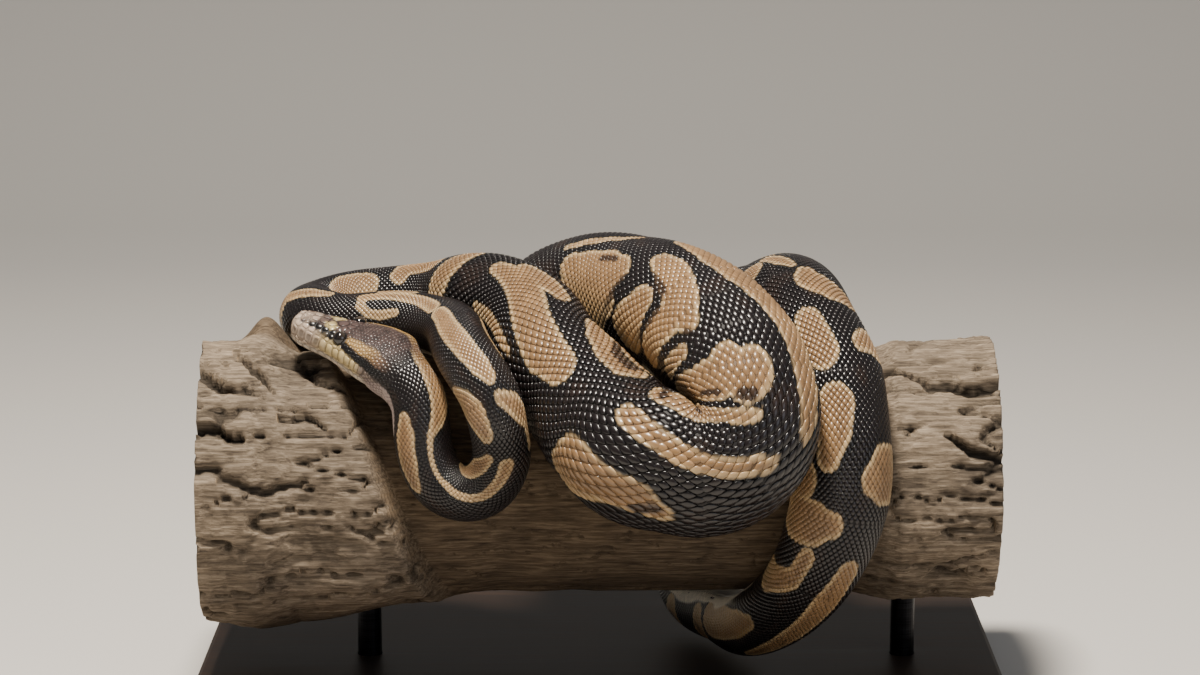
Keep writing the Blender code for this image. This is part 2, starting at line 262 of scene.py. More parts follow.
LOG_COLUMNS, LOG_ROWS, CUT_END = 400, 244, 0.035  # the grid, and each sawn end's share of its columns
END_SPLITS = [  # drying splits in the sawn ends: degrees, half width in mm, and how near the heart
    (28, 1.6, 0.1), (71, 0.8, 0.55), (104, 1.2, 0.3), (150, 0.7, 0.6), (192, 1.5, 0.2),
    (231, 0.8, 0.5), (262, 1.1, 0.35), (318, 0.9, 0.45)]
SPLITS = {  # long open cracks in the bark: mm along, degrees from the top, half width and depth in mm
    "left_upper": [(-166, 36, 1.2, 3), (-150, 44, 1.8, 5), (-140, 47, 1.2, 4), (-133, 49, 0.6, 2)],
    "left_low": [(-166, 58, 1.5, 5), (-152, 62, 1.8, 5), (-141, 66, 1, 4)],
    "left_short": [(-146, 30, 0.8, 3), (-138, 36, 1.6, 4.5), (-130, 45, 0.9, 3)],
    "knot_rim": [(-121, 27, 0.8, 2.5), (-114, 33, 1.2, 3.5), (-109, 31, 0.7, 2)],
    "left_bark": [(-127, 57, 1, 3.5), (-117, 57, 1.4, 4), (-109, 61, 0.7, 2.5)],
    "left_lower": [(-150, 78, 0.9, 3), (-132, 84, 1.5, 4), (-116, 81, 0.8, 3)],
    "right_upper": [(104, 24, 0.8, 3), (118, 26, 1.6, 4.5), (132, 36, 2.2, 5), (150, 40, 2.6, 6),
                    (166, 36, 2, 5)],
    "right_low": [(138, 62, 1.2, 4), (148, 70, 2.2, 5.5), (160, 74, 1.6, 5)],
    "right_back": [(100, -60, 0.9, 3), (130, -66, 1.8, 5), (158, -60, 1.4, 4)],
    "left_back": [(-158, -50, 1.2, 4), (-136, -58, 1.8, 5), (-118, -52, 0.8, 3)],
}


def split_depth(x, a, ragged):
    """How deep the open cracks cut at each point, in mm."""
    out = np.zeros(len(x))
    for line_of in SPLITS.values():
        for (x0, a0, w0, d0), (x1, a1, w1, d1) in zip(line_of, line_of[1:]):
            t = np.clip((x - x0) / (x1 - x0), 0, 1)
            off = np.hypot(x - x0 - t * (x1 - x0), (a - a0 - t * (a1 - a0)) * 0.95 + 2.2 * ragged)
            wide = w0 + t * (w1 - w0)
            out = np.maximum(out, (d0 + t * (d1 - d0)) * smoothstep(1.5, 0.6, off / wide))
    return out


def fibres(x, a):
    """Height of the wood's surface above its plain shape, in mm: mostly cracks, so mostly below."""
    out, ragged = np.zeros(len(x)), np.zeros(len(x))
    bark = bark_share(x, a)
    for k in range(len(x)):
        t = math.radians(a[k])
        y, z = math.sin(t), math.cos(t)
        fine = noise.fractal(Vector((x[k] * 0.05, 17 * y, 17 * z)), 0.9, 2.1, 4)
        crumb = noise.fractal(Vector((x[k] * 0.16, 11 * y, 11 * z)), 0.8, 2.2, 3)
        ragged[k] = noise.noise(Vector((x[k] * 0.11, 5 * y, 5 * z)))
        crack = abs(noise.noise(Vector((x[k] * 0.019 + 3.1, 6.7 * y + 0.4 * ragged[k], 6.7 * z))))
        lump = noise.noise(Vector((x[k] * 0.045 + 9.0, 2.6 * y, 2.6 * z)))
        split = max(0.0, 1.0 - crack / (0.05 + 0.05 * bark[k]))
        out[k] = (0.55 * fine * (1 + 0.9 * bark[k]) + 0.75 * bark[k] * crumb + (0.9 + 0.9 * bark[k]) * lump
                  - (1.3 + 2.4 * bark[k]) * split ** 1.5)
    out = np.minimum(out, 0.7 + 1.4 * bark) - split_depth(x, a, ragged)
    # The round top of the knot left of the snout, and a low rise beside it.
    return out + swelling(x, a, 4.6, -130, 10, 9, 14) + swelling(x, a, 1.3, -121, -12, 9, 9)


def end_split(a, share):
    """How open the drying splits of a sawn end are, at a share of the way from its heart to its rim."""
    out = np.zeros(len(a))
    for turn, wide, inner in END_SPLITS:
        off = np.abs(turned(a - turn + 6 * np.sin(9 * share) * (1 - share))) * 0.9 * share
        taper = np.clip((share - inner) / (1 - inner), 0, 1)
        cut = smoothstep(1.4, 0.4, off / (wide * taper + 0.01)) * smoothstep(0.0, 0.15, taper)
        out = np.maximum(out, cut)
    return out


def log_shape(along, around):
    body = np.clip((along - CUT_END) / (1 - 2 * CUT_END), 0, 1)
    x = (2 * body - 1) * LOG_HALF
    a = around * 360 - 180
    end = np.clip(np.minimum(along, 1 - along) / CUT_END, 0, 1)
    r = (log_radius(x, a) + fibres(x, a)) * end
    x = x - np.sign(x) * (0.4 + 1.8 * end_split(a, end)) * (end < 1)
    t = np.radians(a)
    return in_place(np.column_stack([x, -r * np.sin(t), log_middle(x) + r * np.cos(t)]))


# Dead hardwood, dried and greyed in the open: dull fibres, with painted shade darkening the cracks between
# them, and a shade darker and warmer where the bark is gone. Fibre bundles are about 1 mm thick.
weathered_wood, tree, shader = finish_named("weathered_dead_wood",
                                            {"Roughness": 0.86, "IOR": 1.5, "Specular IOR Level": 0.25})
MULTIPLY = {"data_type": "RGBA", "blend_type": "MULTIPLY"}
place = node(tree, "TexCoord").outputs["Object"]
lay = node(tree, "Mapping", {"Scale": (60.0, 900.0, 900.0)}, {"Vector": place})
strands = node(tree, "TexNoise", {"Scale": 1.0, "Detail": 6.0, "Roughness": 0.65}, {"Vector": lay})
patches = node(tree, "TexNoise", {"Scale": 28.0, "Detail": 4.0, "Roughness": 0.6}, {"Vector": place})
fibre = node(tree, "ValToRGB", {"stops": [(0.28, "#423a33"), (0.5, "#7f7466"), (0.74, "#b1a594")]},
             {"Fac": strands})
grey = node(tree, "ValToRGB", {"stops": [(0.3, "#80766b"), (0.7, "#c8beb0")]}, {"Fac": patches})
mixed = node(tree, "Mix", {**MULTIPLY, 0: 0.75}, {6: fibre, 7: grey})
# The shade layer holds the bare wood's own tint and painted shade in the cracks, hollows and end splits.
depth = node(tree, "Attribute", {"attribute_name": "shade"})
# Growth rings, 2.2 mm apart, show on the sawn ends only.
heart = node(tree, "Mapping", {"Location": (0.0, -LOG_BACK * MM, (4 - LOG_UP) * MM)}, {"Vector": place})
rings = node(tree, "TexWave", {"wave_type": "RINGS", "rings_direction": "X", "wave_profile": "SAW",
                               "Scale": 143.0, "Distortion": 4.5, "Detail": 3.0, "Detail Scale": 0.3},
             {"Vector": heart})
sawn = node(tree, "ValToRGB", {"stops": [(0.0, "#9e8e78"), (0.65, "#8b7a64"), (1.0, "#5a4a3a")]},
            {"Fac": rings.outputs["Fac"]})
sawn_grey = node(tree, "Mix", {**MULTIPLY, 0: 0.6}, {6: sawn, 7: grey})
facing = node(tree, "SeparateXYZ", {}, {"Vector": node(tree, "NewGeometry").outputs["True Normal"]})
flat = node(tree, "Math", {"operation": "ABSOLUTE"}, {0: facing})
on_end = node(tree, "ValToRGB", {"stops": [(0.82, "#000000"), (0.92, "#ffffff")]}, {"Fac": flat})
wood = node(tree, "Mix", {"data_type": "RGBA"}, {0: on_end, 6: mixed.outputs[2], 7: sawn_grey.outputs[2]})
wood_tint_and_shade = node(tree, "Mix", {**MULTIPLY, 0: 1.0}, {6: wood.outputs[2], 7: depth})
ridges = node(tree, "Bump", {"Strength": 0.6, "Distance": 0.0008}, {"Height": strands})
feed(shader, {"Base Color": wood_tint_and_shade.outputs[2], "Normal": ridges})

bark = smooth_mesh(wrapped_grid(LOG_COLUMNS, LOG_ROWS, log_shape), "perch_log_bark")
piece_from(bark, weathered_wood, ["perch_log"])
x, y, z = (points_of(bark) / MM - np.array([0, LOG_BACK, LOG_UP])).T
z = z - log_middle(x)
turn = np.degrees(np.arctan2(-y, z))
sunk = np.hypot(y, z) - log_radius(x, turn)
# Painted shade: the wood is painted darker where it sinks below its plain shape, in its cracks and hollows,
# and in the drying splits of the sawn ends. The bare wood's warmer tint is its own colour.
light = smoothstep(-4.0, 0.8, np.clip(sunk, -6, 2)) * 0.9 + 0.25
along, around = attribute_of(bark, "along"), attribute_of(bark, "around")
end = np.minimum(along, 1 - along) / CUT_END
light = np.where(end < 0.999, 0.62 * (1 - 0.85 * end_split(around * 360 - 180, end)), light)
bare = 1 - bark_share(x, turn)[:, None]
tint = linear("#ffffff") * (1 - bare) + linear("#cfc8bf") * bare
paint(bark, "shade", 1.5 * tint * light[:, None])


# ---- Body's route ----
# The body lies in one long line from the snout to the tail, wound round the log. Its stations and its
# settling are the construction's own, so that the skin lies where the solids are.
HEAD_LONG, HEAD_ROLL, BELLY_FLAT = 48.0, 12.0, 0.86
PRESS, FOLD = 0.10, 0.60  # how far the thick loops flatten on each other, and the hairpin's extra bend
ROUTE = {
    "head": [(-122.5, -30, 66.5, 7), (-105, -35, 61.3, 10.5), (-87, -43, 55.6, 14)],
    "neck_down": [(-76, -51, 50, 11.4), (-71, -58, 43, 11.3), (-70, -62, 29, 11.3)],
    "neck_loop": [(-68, -62, 17, 11.3), (-62, -62, 7, 11.3), (-53, -63, 3, 11.3),
                  (-44, -66, 8, 11.5), (-39, -70, 18, 11.6), (-38, -74, 30, 11.7)],
    "neck_up": [(-40, -75, 42, 11.8), (-46, -69, 52, 11.9), (-53, -56, 59, 12), (-64, -40, 63, 12)],
    "over_left": [(-76, -24, 65, 12), (-89, -13, 64, 12.2), (-102, -9, 62, 12.4)],
    "turn_left": [(-115, 0, 60, 13), (-122, 14, 59, 13.6), (-117, 27, 60, 14.4)],
    "rear_left": [(-103, 31, 62, 15.2), (-89, 30, 63, 15.8), (-77, 29, 64, 16.2), (-65, 25, 66, 16.6)],
    "crest": [(-56, 12, 70, 17.2), (-50, -4, 72, 17.8), (-42, -20, 71, 18.8)],
    "front_down": [(-32, -36, 66, 20.6), (-21, -50, 56, 23), (-10, -62, 45, 25.4), (2, -73, 35, 27.2)],
    "hairpin": [(14, -83, 29, 28.2), (30, -92, 24.5, 28.3), (44, -99, 22.5, 28.2), (55, -98, 28, 28.1),
                (58, -84, 43, 28), (53, -68, 56, 28)],
    "over_middle": [(46, -54, 65, 27.8), (32, -36, 71, 27.6), (18, -12, 71, 27.4), (2, 10, 66, 27.2)],
    "turn_rear": [(-13, 32, 61, 27), (-24, 53, 54, 26.4), (-19, 70, 46, 26), (-3, 74, 39, 25.6)],
    "rear_run": [(17, 73, 37, 25.4), (39, 70, 40, 25), (56, 60, 47, 24.6)],
    "over_right": [(68, 42, 54, 24.2), (75, 20, 58, 23.8), (79, -4, 57, 23.2)],
    "front_right": [(84, -28, 55, 22.6), (88, -46, 47, 21.8), (92, -57, 37, 21), (94, -63, 26, 20.4),
                    (95, -66, 14, 20), (94, -65, 1, 19.4)],
    "under": [(90, -60, -13, 18.4), (84, -50, -28, 17), (76, -36, -42, 15.4), (66, -18, -53, 14),
              (55, 0, -61, 13)],
    "tail": [(46, 18, -65, 12), (38, 34, -64, 11), (33, 48, -57, 9.8), (31, 56, -45, 8.4),
             (32, 60, -32, 6.8), (35, 62, -19, 5.2), (39, 62, -8, 3.6), (43, 61, 1, 2)],
}
HEAD_SIZES = [  # from the snout: half width, height above and depth below the middle
    (0, 3.4, 3.2, 3.4), (0.8, 5, 4.7, 4.9), (2.4, 6.5, 5.9, 6.3), (5, 7.6, 6.6, 7.2),
    (9, 8.5, 7, 7.8), (14, 9.3, 7.3, 8.2), (19, 10.2, 7.6, 8.6), (25, 12.2, 8.3, 9.4),
    (31, 14.2, 9.2, 10.2), (37, 15.4, 10, 10.9), (42, 15.4, 10.6, 11.3),
    (48, 13.8, 10.9, 11.4), (54, 12.2, 11.1, 10.9), (62, 11.4, 11.4, 9.8),
]


def unit(vectors):
    return vectors / np.linalg.norm(vectors, axis=1)[:, None]


def square_to(vectors, axis):
    """What is left of each vector without its part along the axis."""
    return vectors - (vectors * axis).sum(1)[:, None] * axis


def travelled(p):
    """Distance along a line of points, from its start."""
    return np.r_[0, np.cumsum(np.linalg.norm(np.diff(p[:, :3], axis=0), axis=1))]


def soften(v):
    v[1:-1] = 0.25 * v[:-2] + 0.5 * v[1:-1] + 0.25 * v[2:]


def spline(points, step):
    """A smooth line through the points, in even steps."""
    p = np.array(points, float)
    q = np.vstack([2 * p[0] - p[1], p, 2 * p[-1] - p[-2]])
    out = []
    for i in range(len(p) - 1):
        a, b, c, d = q[i:i + 4]
        for t in np.linspace(0, 1, 20, endpoint=False):
            out.append((2 * t**3 - 3 * t**2 + 1) * b + (t**3 - 2 * t**2 + t) * (c - a) / 2
                       + (-2 * t**3 + 3 * t**2) * c + (t**3 - t**2) * (d - b) / 2)
    out.append(p[-1])
    return evenly(np.array(out), step)


def evenly(p, step):
    s = travelled(p)
    at = np.linspace(0, s[-1], int(round(s[-1] / step)) + 1)
    return np.stack([np.interp(at, s, p[:, k]) for k in range(p.shape[1])], 1)


def settle(p, rounds=700, gap=0.9):
    """Lays the body down: no part enters the log or another part, and no bend is too tight."""
    home, r, x = p[:, :3].copy(), p[:, 3], p[:, :3].copy()
    s, keys = travelled(p), np.array(HEAD_SIZES)
    plain, loose = r, smoothstep(20, 27.5, r)
    r = np.maximum(r, np.interp(s, keys[:, 0], keys[:, 1] + 0.6, right=0))
    apart = np.abs(s[:, None] - s[None]) > 3.0 * np.maximum(r[:, None], r[None])
    press = r * (1 - PRESS * loose)
    limit = 0.84 + FOLD * smoothstep(27.7, 28.05, r)[1:-1]
    free = smoothstep(HEAD_LONG - 4, HEAD_LONG + 26, s)[:, None]
    hold = np.array([0.042, 0.0042, 0.042])
    for k in range(rounds):
        d = x[:, None] - x[None]
        far = np.linalg.norm(d, axis=2) + 1e-9
        push = np.where(apart, np.maximum(press[:, None] + press[None] + gap - far, 0), 0)
        move = (d / far[..., None] * (push**2)[..., None]).sum(1) / (push.sum(1) + 1e-9)[:, None] * 0.5
        out = x[:, 1:] - np.stack([0 * s, log_middle(x[:, 0])], 1)
        reach = np.linalg.norm(out, axis=1) + 1e-9
        around = np.degrees(np.arctan2(-out[:, 0], out[:, 1]))
        short = np.maximum(log_radius(x[:, 0], around) + r + gap - reach, 0)
        move[:, 1:] += out / reach[:, None] * short[:, None] * 0.6
        move += hold * (home - x) * min(1.0, 2.0 * (1 - k / rounds))
        for _ in range(3):
            soften(move)
        x = x + move * free
        ease = 0.5 * (x[:-2] + x[2:]) - x[1:-1]
        span = np.linalg.norm(x[2:] - x[:-2], axis=1) / 2
        bend = 2 * np.linalg.norm(ease, axis=1) / span**2 * r[1:-1]
        w = 0.02 + np.clip((bend - limit) * 3.0, 0, 1) * 0.9
        w = np.convolve(np.r_[w[0], w[0], w, w[-1], w[-1]], [0.1, 0.2, 0.4, 0.2, 0.1], "valid")
        x[1:-1] += 0.5 * w[:, None] * ease * free[1:-1]
    return evenly(np.column_stack([x, plain]), 4.0)


def directions(p):
    """Tangent and dorsal vectors at each station."""
    x, s = p[:, :3], travelled(p)
    t = np.gradient(x, s, axis=0)
    for _ in range(2):
        soften(t)
    t = unit(t)
    out = unit(x - np.stack([x[:, 0], 0 * s, log_middle(x[:, 0])], 1))
    lean = math.radians(HEAD_ROLL)
    crown = np.array([0, -math.sin(lean), math.cos(lean)])
    w = smoothstep(HEAD_LONG * 0.8, HEAD_LONG * 1.9, s)[:, None]
    up = (1 - w) * crown + w * out
    for _ in range(12):
        up = unit(square_to(up, t))
        soften(up)
    return t, unit(square_to(up, t))


settled = settle(spline([p for part in ROUTE.values() for p in part], 4.0))
tangent, dorsal = directions(settled)
fine = spline(np.column_stack([settled, tangent, dorsal]), 1.0)
line = travelled(fine)
TOTAL = line[-1]
tangent = unit(fine[:, 4:7])
dorsal = unit(square_to(fine[:, 7:10], tangent))
route = {"x": fine[:, :3], "r": fine[:, 3], "up": dorsal, "left": np.cross(tangent, dorsal)}


def on_route(at, key):
    """A value of the route at distances from the snout, in mm."""
    kept = route[key]
    if kept.ndim == 1:
        return np.interp(at, line, kept)
    return np.column_stack([np.interp(at, line, kept[:, k]) for k in range(3)])


# ---- Skin ----
# One soft skin from the snout to the tail tip, matt between the scales, where painted shade darkens it. It
# lies inside the flesh solids by the depth of the scales and carries the same markings as they do.
SNOUT_ROUND = [(0, 0, 0, 0), (0.1, 1.7, 1.6, 1.7), (0.35, 3.2, 3, 3.2), (0.9, 5, 4.7, 4.9)]
HEAD_KEYS = np.array(SNOUT_ROUND + HEAD_SIZES[2:])
EYE_AT, EYE_TURN, EYE_R = 24.2, 45.0, 3.1  # mm from the snout, degrees from the crown, radius in mm
NAPE, HEAD_SHARE = 60.0, 0.2               # where the head's finer grid ends, and its share of the stations
SKIN_COLUMNS, SKIN_ROWS = 900, 96
PITS = {  # nostrils and heat pits in the lip: mm from the snout, degrees from the crown, radius, depth
    "nostril": (5.8, 24, 0.9, 1.2), "pit_1": (2.6, 82, 0.9, 0.8), "pit_2": (6.2, 81, 1.0, 0.9),
    "pit_3": (9.9, 83, 1.0, 0.9), "pit_4": (13.6, 86, 0.9, 0.8),
}


def scale_depth(at):
    """How far the scales stand above the skin, in mm."""
    body = np.maximum(0.018 * on_route(at, "r"), 0.1) + 0.05
    head = 0.08 + 0.26 * smoothstep(0, 2.5, at)
    return head + (body - head) * smoothstep(50, 60, at)


def mouth_angle(at):
    """The lip line's angle from the crown, in degrees."""
    return np.interp(at, [0, 5, 20, 30, 43], [114, 116, 110, 104, 101])


def head_half(at):
    """Mean half thickness of the head, in mm."""
    return np.interp(at, HEAD_KEYS[:, 0], HEAD_KEYS[:, 1:].mean(1))


def across(at, degrees, spot):
    """Distance in mm over the head's surface to a spot on either side of it."""
    return np.hypot(at - spot[0], (np.abs(turned(degrees)) - spot[1]) * np.pi / 180 * head_half(at))


def pit_shade(at, degrees):
    """1 at the bottom of a nostril or heat pit, 0 away from them."""
    return np.max([np.exp(-(across(at, degrees, p) / p[2]) ** 2) for p in PITS.values()], axis=0)


def section(at, angle):
    """Offsets (side, up) in mm of the body's or head's surface; angle in radians from the crown."""
    c, n = np.cos(angle), np.sin(angle)
    r = on_route(at, "r")
    belly = 0.3 + (BELLY_FLAT - 0.3) * np.sin(np.clip((-c - 0.3) / 0.7, 0, 1) * np.pi / 2)
    side, up = n * r, np.where(c < -0.3, -belly, c) * r
    w, high, low = (np.interp(at, HEAD_KEYS[:, 0], HEAD_KEYS[:, k]) for k in (1, 2, 3))
    square = 2.45 - 0.45 * smoothstep(30, 58, at)
    tall = np.where(c > 0, high, low)
    k = (np.abs(c) ** square + np.abs(n) ** square) ** (-1 / square)
    narrow = 1.0 - 0.16 * smoothstep(0.1, 0.9, -c) * (1 - smoothstep(36, 56, at))
    mix = smoothstep(48, 64, at)
    return (1 - mix) * n * w * k * narrow + mix * side, (1 - mix) * c * tall * k + mix * up


def plain_rays(at, angle):
    side, up = section(at, angle)
    return side[:, None] * on_route(at, "left") + up[:, None] * on_route(at, "up")


# Where two lengths of the body press together, each stops at the flat halfway between them.
PRESS_STEP, PRESS_TURN, SOFT = 2.0, 5.0, 14
press_at = np.arange(50.0, TOTAL + PRESS_STEP, PRESS_STEP)
press_turn = np.arange(-180.0, 180.1, PRESS_TURN)
grid_at, grid_turn = (g.ravel() for g in np.meshgrid(press_at, press_turn, indexing="ij"))
rays = plain_rays(grid_at, np.radians(grid_turn))
reach = np.linalg.norm(rays, axis=1)
mine, other_r = on_route(grid_at, "r"), settled[:, 3]
other_at = np.linspace(0, TOTAL, len(settled))
middle_of = on_route(grid_at, "x")
allowed = np.full(len(reach), 999.0)
for k in range(12, len(settled)):
    d = settled[k, :3] - middle_of
    far = np.linalg.norm(d, axis=1) + 1e-9
    facing = (rays * d).sum(1) / (reach * far)
    flat = far * mine / (mine + other_r[k]) - 0.45
    on = (np.abs(grid_at - other_at[k]) > 0.8 * mine) & (facing > 0.04)
    allowed = np.where(on, np.minimum(allowed, np.maximum(flat, 1.0) / np.maximum(facing, 0.04)), allowed)
pressed = (1 / (1 + (reach / allowed) ** SOFT) ** (1 / SOFT)).reshape(len(press_at), -1)


def bare_surface(at, angle):
    u = np.clip((at - press_at[0]) / PRESS_STEP, 0, len(press_at) - 1.001)
    w = (np.degrees(angle) + 180) % 360 / PRESS_TURN
    i, j = u.astype(int), w.astype(int)
    f, g = u - i, w - j
    share = ((1 - f) * ((1 - g) * pressed[i, j] + g * pressed[i, j + 1])
             + f * ((1 - g) * pressed[i + 1, j] + g * pressed[i + 1, j + 1]))
    share = 1 - (1 - share) * smoothstep(50, 60, at)
    return on_route(at, "x") + plain_rays(at, angle) * share[:, None]


def surface(at, angle, lift):
    """Points at a height above the flesh, and the outward direction there."""
    at = np.clip(at, 0.02, TOTAL - 0.02)
    p = bare_surface(at, angle)
    along = bare_surface(np.minimum(at + 0.4, TOTAL), angle) - bare_surface(np.maximum(at - 0.4, 0), angle)
    around = bare_surface(at, angle + 0.02) - bare_surface(at, angle - 0.02)
    out = np.cross(around, along)
    out /= np.linalg.norm(out, axis=1)[:, None] + 1e-12
    return p + out * np.asarray(lift)[:, None], out


# Pale blotches as strokes: each station is (mm from the snout, degrees from the crown, half width in
# mm). They are broad keyholes on the flanks, short bars over the back and thin lines on the neck.
PALE = {
    "nape": [(52, -36, 3.4), (56, -42, 5.4), (63, -44, 6), (69, -42, 5.2), (75, -30, 3.2), (80, -15, 1.4)],
    "throat_side": [(73, 44, 2.4), (80, 42, 4.6), (88, 44, 4.8), (95, 47, 3)],
    "loop_line": [(80, -14, 1.2), (87, -9, 0.9), (96, -11, 1), (104, -12, 1.3), (113, -4, 1.6),
                  (124, 9, 1.9), (133, 12, 2.4), (140, 13, 2.8)],
    "loop_inner": [(104, -85, 2.6), (112, -72, 2.8), (124, -58, 4), (136, -42, 4.2), (142, -26, 2.4)],
    "rise_left": [(152, -28, 3), (157, -45, 5), (162, -62, 5.5), (167, -86, 5)],
    "rise_right": [(145, 80, 3), (153, 72, 3.5), (157, 45, 3.6), (160, 14, 2.2)],
    "over_bar": [(207, -26, 3.6), (194, -21, 4.4), (185, -14, 4.7), (178, -8, 4.7), (171, 0, 4.2),
                 (167, 6, 3)],
    "over_flank": [(178, 86, 5), (195, 82, 5.5), (204, 78, 3.5)],
    "over_top": [(254, -14, 2.2), (247, -12, 2.4), (238, -12, 2.8), (226, -14, 3), (214, -24, 3.2)],
    "over_back": [(247, 12, 2.6), (236, 14, 2.8)],
    "over_hook": [(254, -14, 1.9), (254, -39, 1.9), (251, -54, 2), (245, -58, 2), (237, -52, 1.7)],
    "turn_bar": [(272, -5, 2.5), (280, -20, 3), (288, -45, 3)],
    "rear_a": [(298, 55, 5), (312, 60, 8), (324, 66, 7)],
    "rear_b": [(341, 55, 5), (344, 35, 6), (364, 32, 5)],
    "crest_a": [(380, 75, 5.5), (382, 35, 6), (385, 6, 5)],
    "crest_big": [(404, 20, 4.5), (420, 14, 7.5), (440, 16, 8), (457, 20, 9.5), (469, 14, 7.5)],
    "crest_tongue": [(412, -4, 5), (424, -14, 6), (433, -24, 4)],
    "crest_strip": [(403, 79, 2.4), (420, 72, 3), (436, 62, 2.6), (446, 55, 1.8)],
    "curl": [(452, -50, 5), (462, -38, 6.5), (474, -34, 6.5), (486, -37, 6), (491, -48, 4.5)],
    "curl_low": [(465, -66, 6), (484, -66, 6)],
    "flank_dim": [(496, 72, 8), (503, 46, 9.5), (514, 45, 8), (521, 52, 5)],
    "long_band": [(510, -14, 5.2), (518, -8, 4.8), (528, 0, 4.2), (538, 11, 3.4), (545, 24, 3),
                  (548, 36, 2.2)],
    "inner_patch": [(515, -50, 5.5), (530, -45, 6.5), (544, -38, 6.5), (551, -20, 3.6), (554, -4, 2.8),
                    (556, 7, 1.6)],
    "outer_band": [(561, 56, 6), (568, 56, 8), (580, 56, 9), (592, 50, 10.5), (605, 42, 12), (616, 36, 12),
                   (626, 32, 9), (636, 27, 6)],
    "hairpin_curl": [(566, -4, 8.2), (568, 5, 7.2)],
    "hairpin_mid": [(571, -15, 7.5), (564, -26, 6), (562, -38, 5)],
    "hairpin_low": [(569, -32, 7), (568, -52, 8), (573, -74, 8)],
    "wedge_low": [(585, -50, 3.4), (588, -74, 4.6)],
    "middle_a": [(594, -31, 5.5), (601, -29, 8.5), (611, -20, 8), (621, -15, 7), (626, -13, 5)],
    "middle_a_low": [(601, -45, 7.5), (604, -62, 7.5), (606, -84, 7)],
    "wedge_high": [(621, -51, 6.5), (626, -82, 10)],
    "middle_b_low": [(645, -68, 9), (655, -78, 13), (670, -80, 12)],
    "middle_b": [(643, -42, 8), (652, -52, 12.5), (667, -58, 11), (677, -58, 7)],
    "middle_top": [(656, 2, 1.8), (674, -22, 2.2), (688, -40, 2)],
    "right_lens": [(884, 24, 3), (896, 12, 3.6), (902, 4, 2)],
    "right_top": [(909, -8, 4.5), (914, -10, 7), (918, -28, 8), (920, -48, 7)],
    "right_a": [(934, 12, 6), (945, 12, 7.5), (942, 26, 7)],
    "right_b": [(965, 4, 7.5), (972, 10, 7.5), (980, 19, 5)],
    "right_edge": [(944, -34, 3.2), (942, -50, 5), (942, -68, 6)],
    "right_c": [(987, -34, 5), (986, -54, 9), (986, -76, 9)],
    "low_a": [(1003, 9, 4.5), (1004, 36, 8.5), (1004, 62, 9.5), (1002, 86, 8.5)],
    "low_b": [(1016, 29, 3.2), (1026, 37, 3.8), (1032, 60, 5), (1036, 84, 8)],
    "low_c": [(1018, -30, 5.2), (1032, -20, 6.2), (1050, -8, 5), (1066, 3, 4), (1080, 12, 2.5)],
    "low_d": [(1062, 60, 3.2), (1072, 74, 6), (1084, 86, 7), (1100, 98, 8)],
}
DARK = {  # eye-spots and bars inside the pale blotches, in the same terms
    "curl": [(466, -54, 2.4), (474, -42, 3), (486, -44, 2.6), (488, -52, 2.2)],
    "flank_dim": [(516, 56, 2.4), (521, 50, 1.8)],
    "inner_a": [(516, -46, 1.5), (516, -60, 1.8)],
    "inner_b": [(534, -44, 2), (538, -40, 1.6)],
    "hairpin_eye": [(561, -8, 2), (561, 2, 2)],
    "hairpin_low": [(562, -27, 1.5), (563, -42, 1.5)],
    "arch_low": [(597, -92, 1.6), (596, -76, 1.6), (592, -56, 1.8), (589, -38, 2.2), (582, -28, 2.2),
                 (578, -36, 1.8), (579, -54, 1.7), (581, -74, 1.7)],
    "arch_high": [(644, -88, 1.8), (640, -70, 1.9), (637, -55, 2), (633, -38, 2.4), (624, -31, 2.6),
                  (614, -33, 2.4), (609, -46, 2.1), (611, -62, 2), (617, -78, 1.9), (622, -94, 1.9)],
    "middle_eye": [(658, -38, 1.6), (648, -33, 1.5)],
}


def stroke_depth(at, degrees, stroke):
    """How deep each point lies inside a stroke, in mm; negative outside it."""
    r = on_route(at, "r") * math.pi / 180
    best = np.full(len(at), -99.0)
    for a, b in zip(stroke, stroke[1:]):
        y, step = turned(degrees - a[1]) * r, turned(b[1] - a[1]) * r
        dx = b[0] - a[0]
        t = np.clip(((at - a[0]) * dx + y * step) / (dx * dx + step * step + 1e-9), 0, 1)
        far = np.hypot(at - a[0] - t * dx, y - t * step)
        best = np.maximum(best, a[2] + t * (b[2] - a[2]) - far)
    return best


def deepest(strokes, at, degrees):
    """How deep each point lies inside the strokes that come near it."""
    best = np.full(len(at), -99.0)
    for stroke in strokes.values():
        near = (at > min(p[0] for p in stroke) - 30) & (at < max(p[0] for p in stroke) + 30)
        best[near] = np.maximum(best[near], stroke_depth(at[near], degrees[near], stroke))
    return best


# Elsewhere the pattern is the species' own: keyhole blotches down each flank with one or two
# eye-spots, and short saddles along the back, a girth's third apart.
SHOWN = [  # where the strokes above are the whole pattern: from and to in mm, and in degrees
    (50, 290, -92, 88), (290, 390, -2, 90), (390, 480, -72, 85), (480, 560, -80, 90),
    (560, 718, -112, 75), (878, 988, -82, 46), (988, 1104, -62, 130)]


def in_view(at, degrees):
    return any(a < at < b and low < degrees < high for a, b, low, high in SHOWN)


